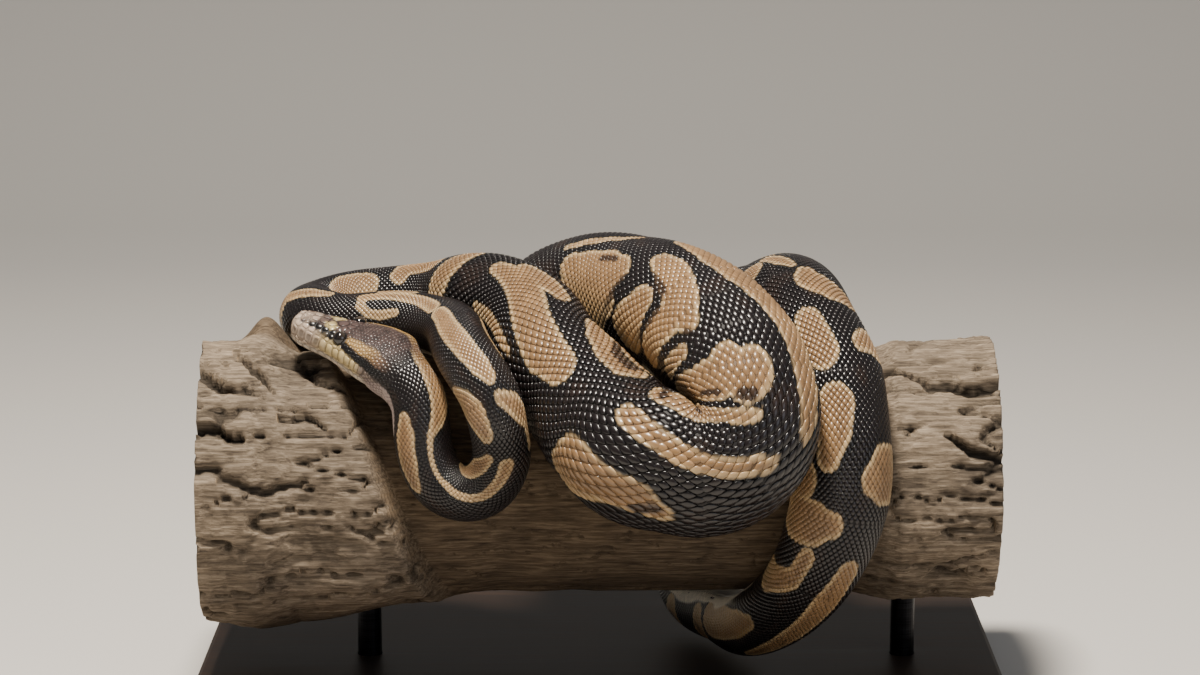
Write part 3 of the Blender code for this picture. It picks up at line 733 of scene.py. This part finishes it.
rng = np.random.default_rng(7)
for side in (-1, 1):
    at = 74.0 if side > 0 else 84.0
    while at < TOTAL - 20:
        r = on_route(at, "r")
        step = 2.0 * r * rng.uniform(0.9, 1.15)
        low, high = side * rng.uniform(96, 108), side * rng.uniform(58, 72)
        if not (in_view(at, low * 0.9) or in_view(at, high)):
            name = f"flank_{side}_{int(at)}"
            PALE[name] = [(at - 0.1 * r, low, 0.36 * r),
                          (at + rng.uniform(-0.15, 0.15) * r, high, 0.5 * r)]
            DARK[name] = [(at + rng.uniform(-0.1, 0.1) * r, high + side * 6, 0.13 * r),
                          (at + rng.uniform(0, 0.2) * r, high + side * 14, 0.12 * r)]
        saddle = at + 0.5 * step
        if side > 0 and not in_view(saddle, 0):
            PALE[f"saddle_{int(at)}"] = [(saddle - 0.25 * r, -8, 0.28 * r), (saddle + 0.3 * r, 6, 0.3 * r)]
        at += step
BLACK, DEEP, BROWN, TAN, GOLD, CREAM, BELLY, SHADED_CHIN = (linear(c) for c in (
    "#110e0e", "#1a1414", "#33251d", "#836544", "#96754e", "#bca177", "#e6dcc6", "#b5a29b"))


def blend(a, b, w):
    w = np.asarray(w)[:, None]
    return a * (1 - w) + b * w


def layered(colour, *layers):
    """Lays each colour over what is under it, as strongly as its weights say."""
    for over, weights in layers:
        colour = blend(colour, over, weights)
    return colour


def mottle(at, degrees, along, around, layer):
    """Cloudy unevenness, from -1 to 1, with this many clouds to a mm and to a degree."""
    return np.array([noise.noise(Vector((s * along, d * around, layer))) for s, d in zip(at, degrees)])


def body_colours(at, degrees):
    """Colours of the body's scales at these places."""
    a = turned(degrees)
    pale, spots = deepest(PALE, at, a), deepest(DARK, at, a)
    wander = mottle(at, a, 0.09, 0.05, 1.7)
    speck = smoothstep(0.42, 0.55, mottle(at, a, 0.22, 0.16, 8.1))
    field = layered(DEEP, (BLACK, smoothstep(-3.5, -0.5, pale)),
                    (BROWN, 0.5 * smoothstep(0.1, 0.6, wander)))
    light = layered(CREAM, (TAN, smoothstep(-0.2, 2.6, pale)), (GOLD, 0.5 * smoothstep(0.0, 0.5, wander)),
                    (BROWN, 0.92 * smoothstep(-0.5, 0.4, spots)),
                    (CREAM, 0.7 * smoothstep(55, 105, np.abs(a))))
    shaded_throat = smoothstep(42, 50, at) * (1 - smoothstep(72, 90, at)) * (a > 0)  # loose pale skin, with its grey-pink tone painted as shade
    low = np.abs(a) - (118 + 16 * wander - 42 * shaded_throat)
    return layered(field, (light, smoothstep(-0.35, 0.35, pale + 0.5 * wander)),
                   (blend(BELLY, SHADED_CHIN, shaded_throat), smoothstep(-2, 6, low)),
                   (BROWN, speck * smoothstep(-2, 4, low) * (np.abs(a) < 146)))


def head_colours(at, degrees):
    """Colours of the head and nape: a dark mauve-brown crown, a gold line over a black one through the
    eye, and cream lips, with painted shade in mauve-grey under the jaw and dark in the pits."""
    crown, mauve, lip, gold, pink, throat, faded, cheek, fleck, loose, pit = (linear(c) for c in (
        "#2c2120", "#604e49", "#cdb684", "#a88650", "#cbb5a0", "#d3c5b4", "#6d5546", "#8d7c70", "#cdb67c",
        "#9a8283", "#4a2f24"))
    a = np.abs(turned(degrees))
    wander = mottle(at, a, 0.3, 0.07, 5.0)
    line_high = np.interp(at, [24, 30, 38, 47, 57], [33, 34, 35, 33, 32])
    line_low = np.interp(at, [24, 30, 38, 47, 57], [42, 50, 55, 57, 50])
    line = smoothstep(-3, 2, a - line_high) * smoothstep(-2, 3, line_low - a) * smoothstep(26, 29, at)
    black_high = np.interp(at, [6, 14, 22, 29, 34, 44, 54, 60], [26, 31, 36, 48, 54, 57, 52, 20])
    black_low = np.interp(at, [6, 14, 22, 34, 44, 54, 60], [46, 56, 63, 72, 78, 78, 66])
    black = smoothstep(-3, 2, a - black_high) * smoothstep(-2, 3, black_low - a) * smoothstep(6, 9, at)
    off_fleck = np.hypot(0.6 * (at - 17.0), (a - 22 - 0.8 * (at - 17)) * 0.17)
    under = smoothstep(84, 96, a) * (1 - smoothstep(120, 150, a))
    return layered(
        crown, (mauve, np.clip(0.35 + 0.7 * wander + 0.3 * (1 - smoothstep(20, 45, at)), 0, 1)),
        (pink, (1 - smoothstep(4, 15, at)) * smoothstep(0, 1, wander + 0.7)),
        (blend(gold, faded, smoothstep(38, 52, at)), line * (1 - smoothstep(52, 58, at))),
        (BLACK, black),
        (blend(pink, blend(lip, cheek, smoothstep(35, 44, at)), smoothstep(10, 20, at)),
         smoothstep(-3, 2, a - black_low)),
        (throat, smoothstep(-4, 6, a - mouth_angle(at))),
        (fleck, 1 - smoothstep(1.4, 2.2, off_fleck)),
        # Painted shade: a mauve-grey low under the jaw.
        (loose, 0.7 * smoothstep(44, 52, at) * under),
        # Painted shade in the nostrils and heat pits.
        (pit, 0.6 * pit_shade(at, a)))


def markings(at, degrees):
    """The animal's colours, in linear red, green, blue."""
    colour, head = body_colours(at, degrees), at < NAPE
    mix = smoothstep(48, 56, at[head])
    colour[head] = blend(head_colours(at[head], degrees[head]), colour[head], mix)
    return colour


def skin_stations(share):
    """Distances from the snout of the skin's stations."""
    body = NAPE + (share - HEAD_SHARE) / (1 - HEAD_SHARE) * (TOTAL - NAPE)
    return np.where(share < HEAD_SHARE, share / HEAD_SHARE * NAPE, body)


def skin_shape(along, around):
    at, angle = skin_stations(along), around * 2 * math.pi - math.pi
    degrees = np.degrees(angle)
    groove = np.exp(-((np.abs(degrees) - mouth_angle(at)) / 3.2) ** 2) * (1 - smoothstep(41, 44, at))
    lift = -scale_depth(at) * 0.9 - 0.5 * groove * smoothstep(0.5, 3, at)
    for pit in PITS.values():
        lift = lift - pit[3] * np.exp(-(across(at, degrees, pit) / pit[2]) ** 2)
    brow = across(at, degrees, (EYE_AT - 0.6, EYE_TURN - 24))
    hollow = across(at, degrees, (EYE_AT, EYE_TURN))
    lift = lift + 0.45 * np.exp(-(brow / 2.4) ** 2) - 0.5 * np.exp(-((hollow - 3.2) / 0.7) ** 2)
    p, _ = surface(at, angle, lift)
    ends = (along < 1e-6) | (along > 1 - 1e-6)
    p[ends] = on_route(at, "x")[ends]
    return in_place(p)


def keratin(name, settings, per_metre, strength):
    """A finish in the markings' colours, with fine relief this many times to a metre."""
    made, tree, shader = finish_named(name, settings)
    place = node(tree, "TexCoord").outputs["Object"]
    fine = node(tree, "TexNoise", {"Scale": per_metre, "Detail": 2.0}, {"Vector": place})
    relief = node(tree, "Bump", {"Strength": strength, "Distance": 0.0001}, {"Height": fine})
    feed(shader, {"Base Color": node(tree, "Attribute", {"attribute_name": "markings"}), "Normal": relief})
    return made


# Snake skin between the scales: thin, matt keratin folds with fine creases 0.4 mm apart. Its markings are
# painted about half as bright as the scales', as shade in the gaps between them.
bare_skin = keratin("snake_skin_between_scales", {"Roughness": 0.6, "IOR": 1.45}, 2400.0, 0.3)
FLESH = ["head", "neck", "trunk_1", "trunk_2", "trunk_3", "trunk_4", "trunk_5", "tail"]
skin = smooth_mesh(wrapped_grid(SKIN_COLUMNS, SKIN_ROWS, skin_shape), "python_skin")
piece_from(skin, bare_skin, FLESH)
at_skin = skin_stations(attribute_of(skin, "along"))
turn_skin = attribute_of(skin, "around") * 360 - 180
# Painted shade: the skin between the scales takes the markings at 0.55 of their brightness.
paint(skin, "markings", 0.55 * markings(at_skin, turn_skin))


# ---- Body scales ----
# Smooth keratin scales in slanting rows, 44 to 72 round the back and flanks. Each is a low dome whose
# rear edge lies over the next. They are smallest on the neck and tail and broad low on the flanks.
SCALE_ROWS = [[80, 320, 520, 610, 860, 1000, 1226], [44, 56, 58, 72, 72, 66, 50]]  # mm from the snout, rows
FIRST_ROW = 57.0                # mm from the snout
SCALE_PITCH = 8.8               # a scale's length, times the body's radius over the number of rows
LEAST_PITCH = 0.9               # and the least length, in mm
BELLY_HALF = 37.0               # degrees that the belly plates reach to each side
SCALE_RIM, ROUNDNESS = 8, 1.35  # points round a scale, and its shape: 1 is a diamond and 2 is round
TOP_RING, TOP_HIGH = 0.66, 0.64  # a scale's inner ring: its shares of the width and of the height
LENGTHS = [0.172, 0.310, 0.440, 0.575, 0.715, 0.885, 1.0]  # where each length of flesh ends, as shares
# Scale keratin, smooth and a little oily: a satin gloss under a thin clear sheen, with fine relief
# 0.6 mm apart.
polished_scale = keratin("snake_scale_keratin", {"Roughness": 0.3, "IOR": 1.46, "Coat Weight": 0.25,
                                                 "Coat Roughness": 0.12}, 1600.0, 0.12)


def body_scale_places():
    """Distance, angle, half length in mm and half width in degrees of each scale on the body. The flank
    scales are the wider ones, and every second row is shifted by half a scale."""
    at, rows, odd = FIRST_ROW, [], False
    while at < TOTAL - 3:
        r = on_route(at, "r")
        count = 2 * int(np.interp(at, *SCALE_ROWS) / 2)
        pitch = max(SCALE_PITCH * r / count, LEAST_PITCH)
        t = (np.arange(count // 2) * 2 + odd + 0.5) / count * 2 - 1
        angles = (t * 0.82 + 0.18 * t**3) * (180 - BELLY_HALF)
        t = angles / (180 - BELLY_HALF)
        wide = (0.84 + 0.5 * t * t) * (180 - BELLY_HALF) / count * 2
        rows.append(np.column_stack([0 * t + at, angles, 0 * t + pitch / 2, wide]))
        at += pitch / 2
        odd = not odd
    return np.vstack(rows)


def rim_shape(count, long_power, wide_power):
    """A plate's rim, as shares of its half length and half width: low powers make it squarer."""
    angle = np.arange(count) * 2 * math.pi / count
    x, y = np.cos(angle), np.sin(angle)
    return np.sign(x) * np.abs(x) ** long_power, np.sign(y) * np.abs(y) ** wide_power


def plates_from(name, points, m, roots, offsets, tints):
    """Joins domed plates into one mesh. points, in metres, and tints run, for each plate, over its top,
    a ring of m and its rim of m; roots and offsets give them in mm and degrees."""
    n, each, k = len(points), 1 + 2 * m, np.arange(m)
    nxt = (k + 1) % m
    top = np.column_stack([np.zeros(m, int), 1 + k, 1 + nxt])
    band = np.concatenate([np.column_stack([1 + k, 1 + m + k, 1 + m + nxt]),
                           np.column_stack([1 + k, 1 + m + nxt, 1 + nxt])])
    under = np.array([(1 + m, 1 + m + j + 1, 1 + m + j) for j in range(1, m - 1)])
    round_top = np.arange(len(top) + len(band) + len(under)) < len(top) + len(band)
    tris = np.concatenate([top, band, under])
    faces = (np.arange(n)[:, None, None] * each + tris[None]).reshape(-1, 3)
    mesh = bpy.data.meshes.new(name)
    mesh.vertices.add(n * each)
    mesh.vertices.foreach_set("co", points.astype(np.float32).ravel())
    mesh.loops.add(faces.size)
    mesh.loops.foreach_set("vertex_index", faces.astype(np.int32).ravel())
    mesh.polygons.add(len(faces))
    mesh.polygons.foreach_set("loop_start", np.arange(len(faces), dtype=np.int32) * 3)
    mesh.polygons.foreach_set("use_smooth", np.tile(round_top, n))
    uv = mesh.uv_layers.new(name="OFBake")
    root = np.column_stack([roots[:, 0] / TOTAL, (roots[:, 1] % 360) / 360])
    spot = root[:, None] + 0.0015 * offsets / (np.abs(offsets).max(1)[:, None] + 1e-9)
    uv.data.foreach_set("uv", spot.reshape(-1, 2)[faces.ravel()].astype(np.float32).ravel())
    mesh.update(calc_edges=True)
    mesh.validate()
    paint(mesh, "markings", tints.reshape(-1, 3))
    piece_from(mesh, polished_scale)


def rim_highlight_and_shade(colours):
    """A pale scale's rim is painted paler than its middle, as a highlight, and a dark scale's rim darker,
    as shade.
    """
    pale = smoothstep(0.04, 0.16, colours.mean(1))
    return blend(colours * 0.5, colours * 1.18 + 0.03, pale)


def colours_at(spots):
    """The markings at rows of (mm, degrees)."""
    return markings(spots[..., 0].ravel(), spots[..., 1].ravel()).reshape(*spots.shape[:2], 3)


def joined_plates(name, centres, outlines, spread, highlit_rims):
    """Overlapping plates on the body. centres: (mm, degrees); outlines: each plate's rim as offsets in
    (mm, degrees); spread: how far their tones vary."""
    n, m = outlines.shape[:2]
    offsets = np.concatenate([np.zeros((n, 1, 2)), outlines * TOP_RING, outlines], 1)
    share = np.r_[1.0, np.full(m, TOP_HIGH), np.zeros(m)]
    back = offsets[:, :, 0] / (np.abs(outlines[:, :, 0]).max(1)[:, None] + 1e-9)
    rise = scale_depth(centres[:, 0])[:, None]
    lift = -rise * 1.02 + rise * 1.05 * (share + 0.35 * back)
    spots = centres[:, None] + offsets
    p, _ = surface(spots[..., 0].ravel(), np.radians(spots[..., 1].ravel()), lift.ravel())
    tints = colours_at(centres[:, None] + 0.7 * offsets)
    tints *= (1 + rng.uniform(-spread, spread, n))[:, None, None]
    # Painted highlight and shade on the rims: the body scales' rims are painted paler on pale scales and
    # darker on dark ones, and the belly plates' rims darker, at 0.72.
    rim = rim_highlight_and_shade(tints.reshape(-1, 3)).reshape(tints.shape) if highlit_rims else tints * 0.72
    edge = np.r_[0.0, np.full(m, 0.35), np.full(m, 1.0)][None, :, None]
    plates_from(name, in_place(p).reshape(n, -1, 3), m, centres, offsets, tints * (1 - edge) + rim * edge)


places = body_scale_places()
rim_x, rim_y = rim_shape(SCALE_RIM, 2 / ROUNDNESS, 2 / ROUNDNESS)
for flesh, start, end in zip(FLESH[1:], [0.0] + LENGTHS, LENGTHS):
    group = places[(places[:, 0] >= start * TOTAL) & (places[:, 0] < end * TOTAL)]
    outline = np.stack([rim_x * group[:, 2:3] * 1.02, rim_y * group[:, 3:4] * 0.95], 2)
    joined_plates(flesh + "_scales", group[:, :2], outline, 0.1, True)


# ---- Belly plates ----
# Wide cream plates, about one for each cross row of scales, from the throat to the tail. Their rear
# edges overlap, and they carry the body's weight on the log.
BELLY_PITCH = 0.158  # of the body's radius
at, rows = NAPE, []
while at < TOTAL - 6:
    pitch = max(BELLY_PITCH * on_route(at, "r"), LEAST_PITCH)
    rows.append((at, 180.0, pitch / 2))
    at += pitch
rows = np.array(rows)
plate_x, plate_y = rim_shape(16, 0.5, 0.55)
outline = np.stack([plate_x * rows[:, 2:3] * 1.03, 0 * rows[:, 2:3] + plate_y * (BELLY_HALF + 1.5)], 2)
joined_plates("belly_plates", rows[:, :2], outline, 0.05, False)


# ---- Head plates ----
# Keratin plates on the head, each fitted against its neighbours: tall lip plates over and under the
# mouth, larger ones on the snout and round the eye, and small grains on the crown, cheeks and throat.
HEAD_PLATES = {  # mm from the snout, degrees from the crown, and size in mm, on both sides
    "rostral": [(0.06, 0, 2.6)],
    "mental": [(0.5, 180, 1.9)],
    "upper_lip": [(2.6, 82, 2.3), (6.2, 81, 2.6), (9.9, 83, 2.7), (13.6, 86, 2.8), (17.3, 89, 2.7),
                  (21, 90, 2.7), (24.7, 88, 2.6), (28.4, 87, 2.5), (32.1, 86, 2.4), (35.7, 86, 2.3),
                  (39.2, 86, 2.1), (42.4, 86, 1.9)],
    "lower_lip": [(2.2, 140, 1.7), (5.6, 135, 1.9), (9.2, 131, 2), (12.9, 128, 2), (16.6, 126, 2),
                  (20.3, 124, 2), (24, 121, 1.9), (27.7, 118, 1.9), (31.3, 116, 1.9), (34.9, 114, 1.8),
                  (38.4, 113, 1.8), (41.6, 112, 1.7)],
    "snout_top": [(2.2, 20, 1.5), (9.6, 12, 1.8), (13.4, 13, 1.9), (17.2, 14, 1.8)],
    "nasal": [(5.8, 24, 1.9)],
    "canthal": [(9.4, 37, 1.5), (12.8, 36, 1.5), (15.9, 36, 1.4), (18.4, 30, 1.3)],
    "loreal": [(3.8, 52, 1.3), (7.4, 50, 1.3), (10.4, 54, 1.4), (13.6, 56, 1.3), (16.8, 57, 1.3)],
    "frontal": [(20.8, 0, 2.1), (25.6, 6, 1.6)],
}
PLATE_RIM, PLATE_TOP = 14, 0.74  # points round a plate, and how far its flat top reaches
EYE_RING, RING_PLATES = 4.1, 11  # radius in mm, and number, of the plates round an eye
GRAIN, GRAIN_ROWS, GRAIN_GAP = 0.82, 1.42, 1.62  # a grain's size and the spaces between grains, in mm


def mirrored(places):
    both = [(s, d, w) for s, d, w in places] + [(s, -d, w) for s, d, w in places if d not in (0, 180)]
    return np.array(both)


named = mirrored([p for group in HEAD_PLATES.values() for p in group])
eye_half = head_half(EYE_AT) * math.pi / 180
circle = [(EYE_AT + EYE_RING * math.cos(a), EYE_TURN + EYE_RING * math.sin(a) / eye_half, 1.2)
          for a in np.arange(RING_PLATES) * 2 * math.pi / RING_PLATES]
eyes = mirrored([(EYE_AT, EYE_TURN, 3.0)])
named = np.vstack([eyes, mirrored(circle), named])
grains = []
for row, at in enumerate(np.arange(3.0, 57.8, GRAIN_ROWS)):
    count = int(2 * math.pi * head_half(at) / GRAIN_GAP)
    for k in range(count):
        turn = (k + 0.5 * (row % 2) + rng.uniform(-0.12, 0.12)) * 360 / count - 180
        grains.append((at + rng.uniform(-0.14, 0.14), turn, GRAIN))
grains = np.array(grains)


def on_head(places):
    """Points on the head and the outward directions there."""
    return surface(places[:, 0], np.radians(places[:, 1]), np.zeros(len(places)))


gap = np.linalg.norm(on_head(grains)[0][:, None] - on_head(named)[0][None], axis=2)
heads = np.vstack([named, grains[(gap / (grains[:, 2:3] + named[None, :, 2])).min(1) > 0.84]])

# Each plate reaches out to the line halfway to each neighbour, less a hair's gap.
middle, outward = on_head(heads)
ahead = on_route(heads[:, 0] + 1, "x") - on_route(heads[:, 0], "x") + 1e-4 * on_route(heads[:, 0], "up")
ahead = unit(square_to(ahead, outward))
beside = np.cross(outward, ahead)
to = middle[None] - middle[:, None]
far = np.linalg.norm(to, axis=2) + 1e-9
dx, dy = (to * ahead[:, None]).sum(2), (to * beside[:, None]).sum(2)
flat_far = np.hypot(dx, dy) + 1e-9
halfway = flat_far * (heads[:, 2:3] / (heads[:, 2:3] + heads[None, :, 2]))
halfway[(far < 1e-6) | (far > 11) | ((outward[:, None] * outward[None]).sum(2) < -0.2)] = 1e6
turns = np.arange(PLATE_RIM) * 2 * math.pi / PLATE_RIM
reach = np.empty((len(heads), PLATE_RIM))
for k, turn in enumerate(turns):
    facing = (dx * math.cos(turn) + dy * math.sin(turn)) / flat_far
    reach[:, k] = np.where(facing > 0.08, halfway / np.maximum(facing, 0.08), 1e6).min(1)
reach = np.minimum(reach, 2.0 * heads[:, 2:3]) - 0.11

corners = [tuple(p.vertices) for p in skin.polygons if at_skin[p.vertices[0]] < 66]
tree_of_skin = BVHTree.FromPolygons([tuple(v.co) for v in skin.vertices], corners)
keep = np.arange(len(eyes), len(heads))
pitted = pit_shade(heads[:, 0], heads[:, 1]) > 0.6
count, each = len(keep), 1 + 2 * PLATE_RIM
points, seen = np.empty((count, each, 3)), np.empty((count, each, 2))
for row, i in enumerate(keep):
    height = 0.13 + 0.085 * heads[i, 2]
    for j in range(each):
        if j == 0:
            step, rise = np.zeros(3), height * (0.1 if pitted[i] else 1)
        else:
            k, inner = (j - 1) % PLATE_RIM, j <= PLATE_RIM
            step = reach[i, k] * (math.cos(turns[k]) * ahead[i] + math.sin(turns[k]) * beside[i])
            step, rise = (step * PLATE_TOP, 0.86 * height) if inner else (step, -0.03)
        start = Vector(in_place(middle[i] + step + outward[i] * 3.0))
        hit, facing_out, face, _ = tree_of_skin.ray_cast(start, Vector(-outward[i]), 8 * MM)
        if hit is None:
            hit, facing_out, face = Vector(in_place(middle[i] + step)), Vector(outward[i]), 0
        points[row, j] = np.array(hit) + np.array(facing_out) * rise * MM
        seen[row, j] = at_skin[corners[face][0]], turn_skin[corners[face][0]]
tints = 0.35 * markings(heads[keep, 0], heads[keep, 1])[:, None] + 0.65 * colours_at(seen)
tints *= (1 + rng.uniform(-0.12, 0.12, count))[:, None, None]
# Painted shade: each head plate is painted darker towards its rim, a little less so low on the sides.
rim_shade = np.where(np.abs(heads[keep, 1]) > 70, 0.55, 0.5)[:, None, None]
tints[:, 1:PLATE_RIM + 1] *= 0.9 + 0.1 * rim_shade
tints[:, PLATE_RIM + 1:] *= rim_shade
# Painted shade in the nostrils and heat pits.
tints *= 1 - 0.6 * pit_shade(seen[..., 0], seen[..., 1])[..., None]
steps = np.stack([np.cos(turns), np.sin(turns)], 1)[None] * reach[keep][:, :, None]
offsets = np.concatenate([np.zeros((count, 1, 2)), steps * PLATE_TOP, steps], 1)
plates_from("head_plates", points, PLATE_RIM, heads[keep, :2], offsets, tints)


# ---- Eyes ----
# Round eyes with no lids, each under a fixed clear scale that gives a small sharp glint. The iris is
# dark grey-brown, paler above, with an upright slit pupil. Each ball is set as deep as its solid.
clear_scale, tree, shader = finish_named("eye_clear_scale", {"Roughness": 0.06, "IOR": 1.4,
                                                             "Coat Weight": 1.0, "Coat Roughness": 0.02})
feed(shader, {"Base Color": node(tree, "Attribute", {"attribute_name": "markings"})})
BACK, DARK_IRIS, PALE_IRIS, PUPIL = (linear(c) for c in ("#0b0908", "#1a1513", "#4f4438", "#060505"))
spot = np.array([EYE_AT])
ahead = on_route(spot + 1, "x")[0] - on_route(spot - 1, "x")[0]
for name, way in (("eye_left", 1), ("eye_right", -1)):
    low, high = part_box(name)
    middle = (low + high) / 2
    _, gaze = surface(spot, np.radians([way * EYE_TURN]), np.zeros(1))
    gaze = gaze[0]
    level = ahead - (ahead @ gaze) * gaze
    level /= np.linalg.norm(level)
    upright = np.cross(gaze, level) * way
    bm = bmesh.new()
    bmesh.ops.create_icosphere(bm, subdivisions=6, radius=EYE_R * MM)
    bmesh.ops.translate(bm, verts=bm.verts, vec=middle)
    ball = smooth_mesh(bm, name + "_ball")
    piece_from(ball, clear_scale, [name])
    seen = (points_of(ball) - np.array(middle)) / (EYE_R * MM)
    x, y, front = seen @ level, seen @ upright, seen @ gaze
    ray = mottle(np.arctan2(y, x), np.hypot(x, y), 9, 3, 0)
    iris = blend(DARK_IRIS, PALE_IRIS, np.clip(0.2 + 0.5 * y + 0.5 * ray, 0, 1))
    slit = smoothstep(1.25, 0.75, (np.abs(x) / 0.13) ** 1.6 + (np.abs(y) / 0.62) ** 1.6)
    iris = blend(iris, PUPIL, np.maximum(slit, smoothstep(0.78, 0.9, np.hypot(x, y))))
    paint(ball, "markings", blend(BACK, iris, front > 0))


# ---- Room ----
# A pale matt sweep of paper under and behind the stand, soft light from above with a weak one from the
# front right, and a camera in front that looks a little down on the animal.
sweep, *_ = finish_named("paper_sweep", {"Base Color": (*linear("#d6d2cb"), 1), "Roughness": 0.9})
bm = bmesh.new()
bmesh.ops.create_grid(bm, x_segments=2, y_segments=40, size=3.0)
for v in bm.verts:
    rise = max(0.0, v.co.y - 1.2)
    v.co.z = 0.9 * rise**2 / (0.6 + rise)
floor = shown("floor", smooth_mesh(bm, "floor"))
dress(floor, sweep)
floor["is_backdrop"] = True


def soft_light(name, spot, aim, size, power, colour):
    lamp = bpy.data.lights.new(name, "AREA")
    lamp.shape, lamp.size, lamp.energy = "DISK", size, power
    lamp.color = linear(colour)
    made = shown(name, lamp)
    made.location = spot
    made.rotation_euler = (Vector(aim) - Vector(spot)).to_track_quat("-Z", "Y").to_euler()


soft_light("key", (-0.12, -0.3, 1.25), (0, 0, 0.12), 0.26, 34, "#fff6ea")
soft_light("fill", (0.9, -1.2, 0.7), (0, 0, 0.1), 1.0, 3.5, "#e8eefc")
world = bpy.data.worlds.new("studio")
bpy.context.scene.world = world
world.use_nodes = True
air = world.node_tree.nodes["Background"].inputs
air["Color"].default_value, air["Strength"].default_value = (*linear("#cfd2d6"), 1), 0.26

AIM, FAR, TILT = Vector((0, -0.018, 0.1527)), 1.36, math.radians(11)
lens = bpy.data.cameras.new("camera")
lens.lens, lens.sensor_width = 102.0, 36.0
camera = shown("camera", lens)
camera.location = AIM + FAR * Vector((0, -math.cos(TILT), math.sin(TILT)))
camera.rotation_euler = (math.radians(90) - TILT, 0, 0)
bpy.context.scene.camera = camera

low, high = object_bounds()
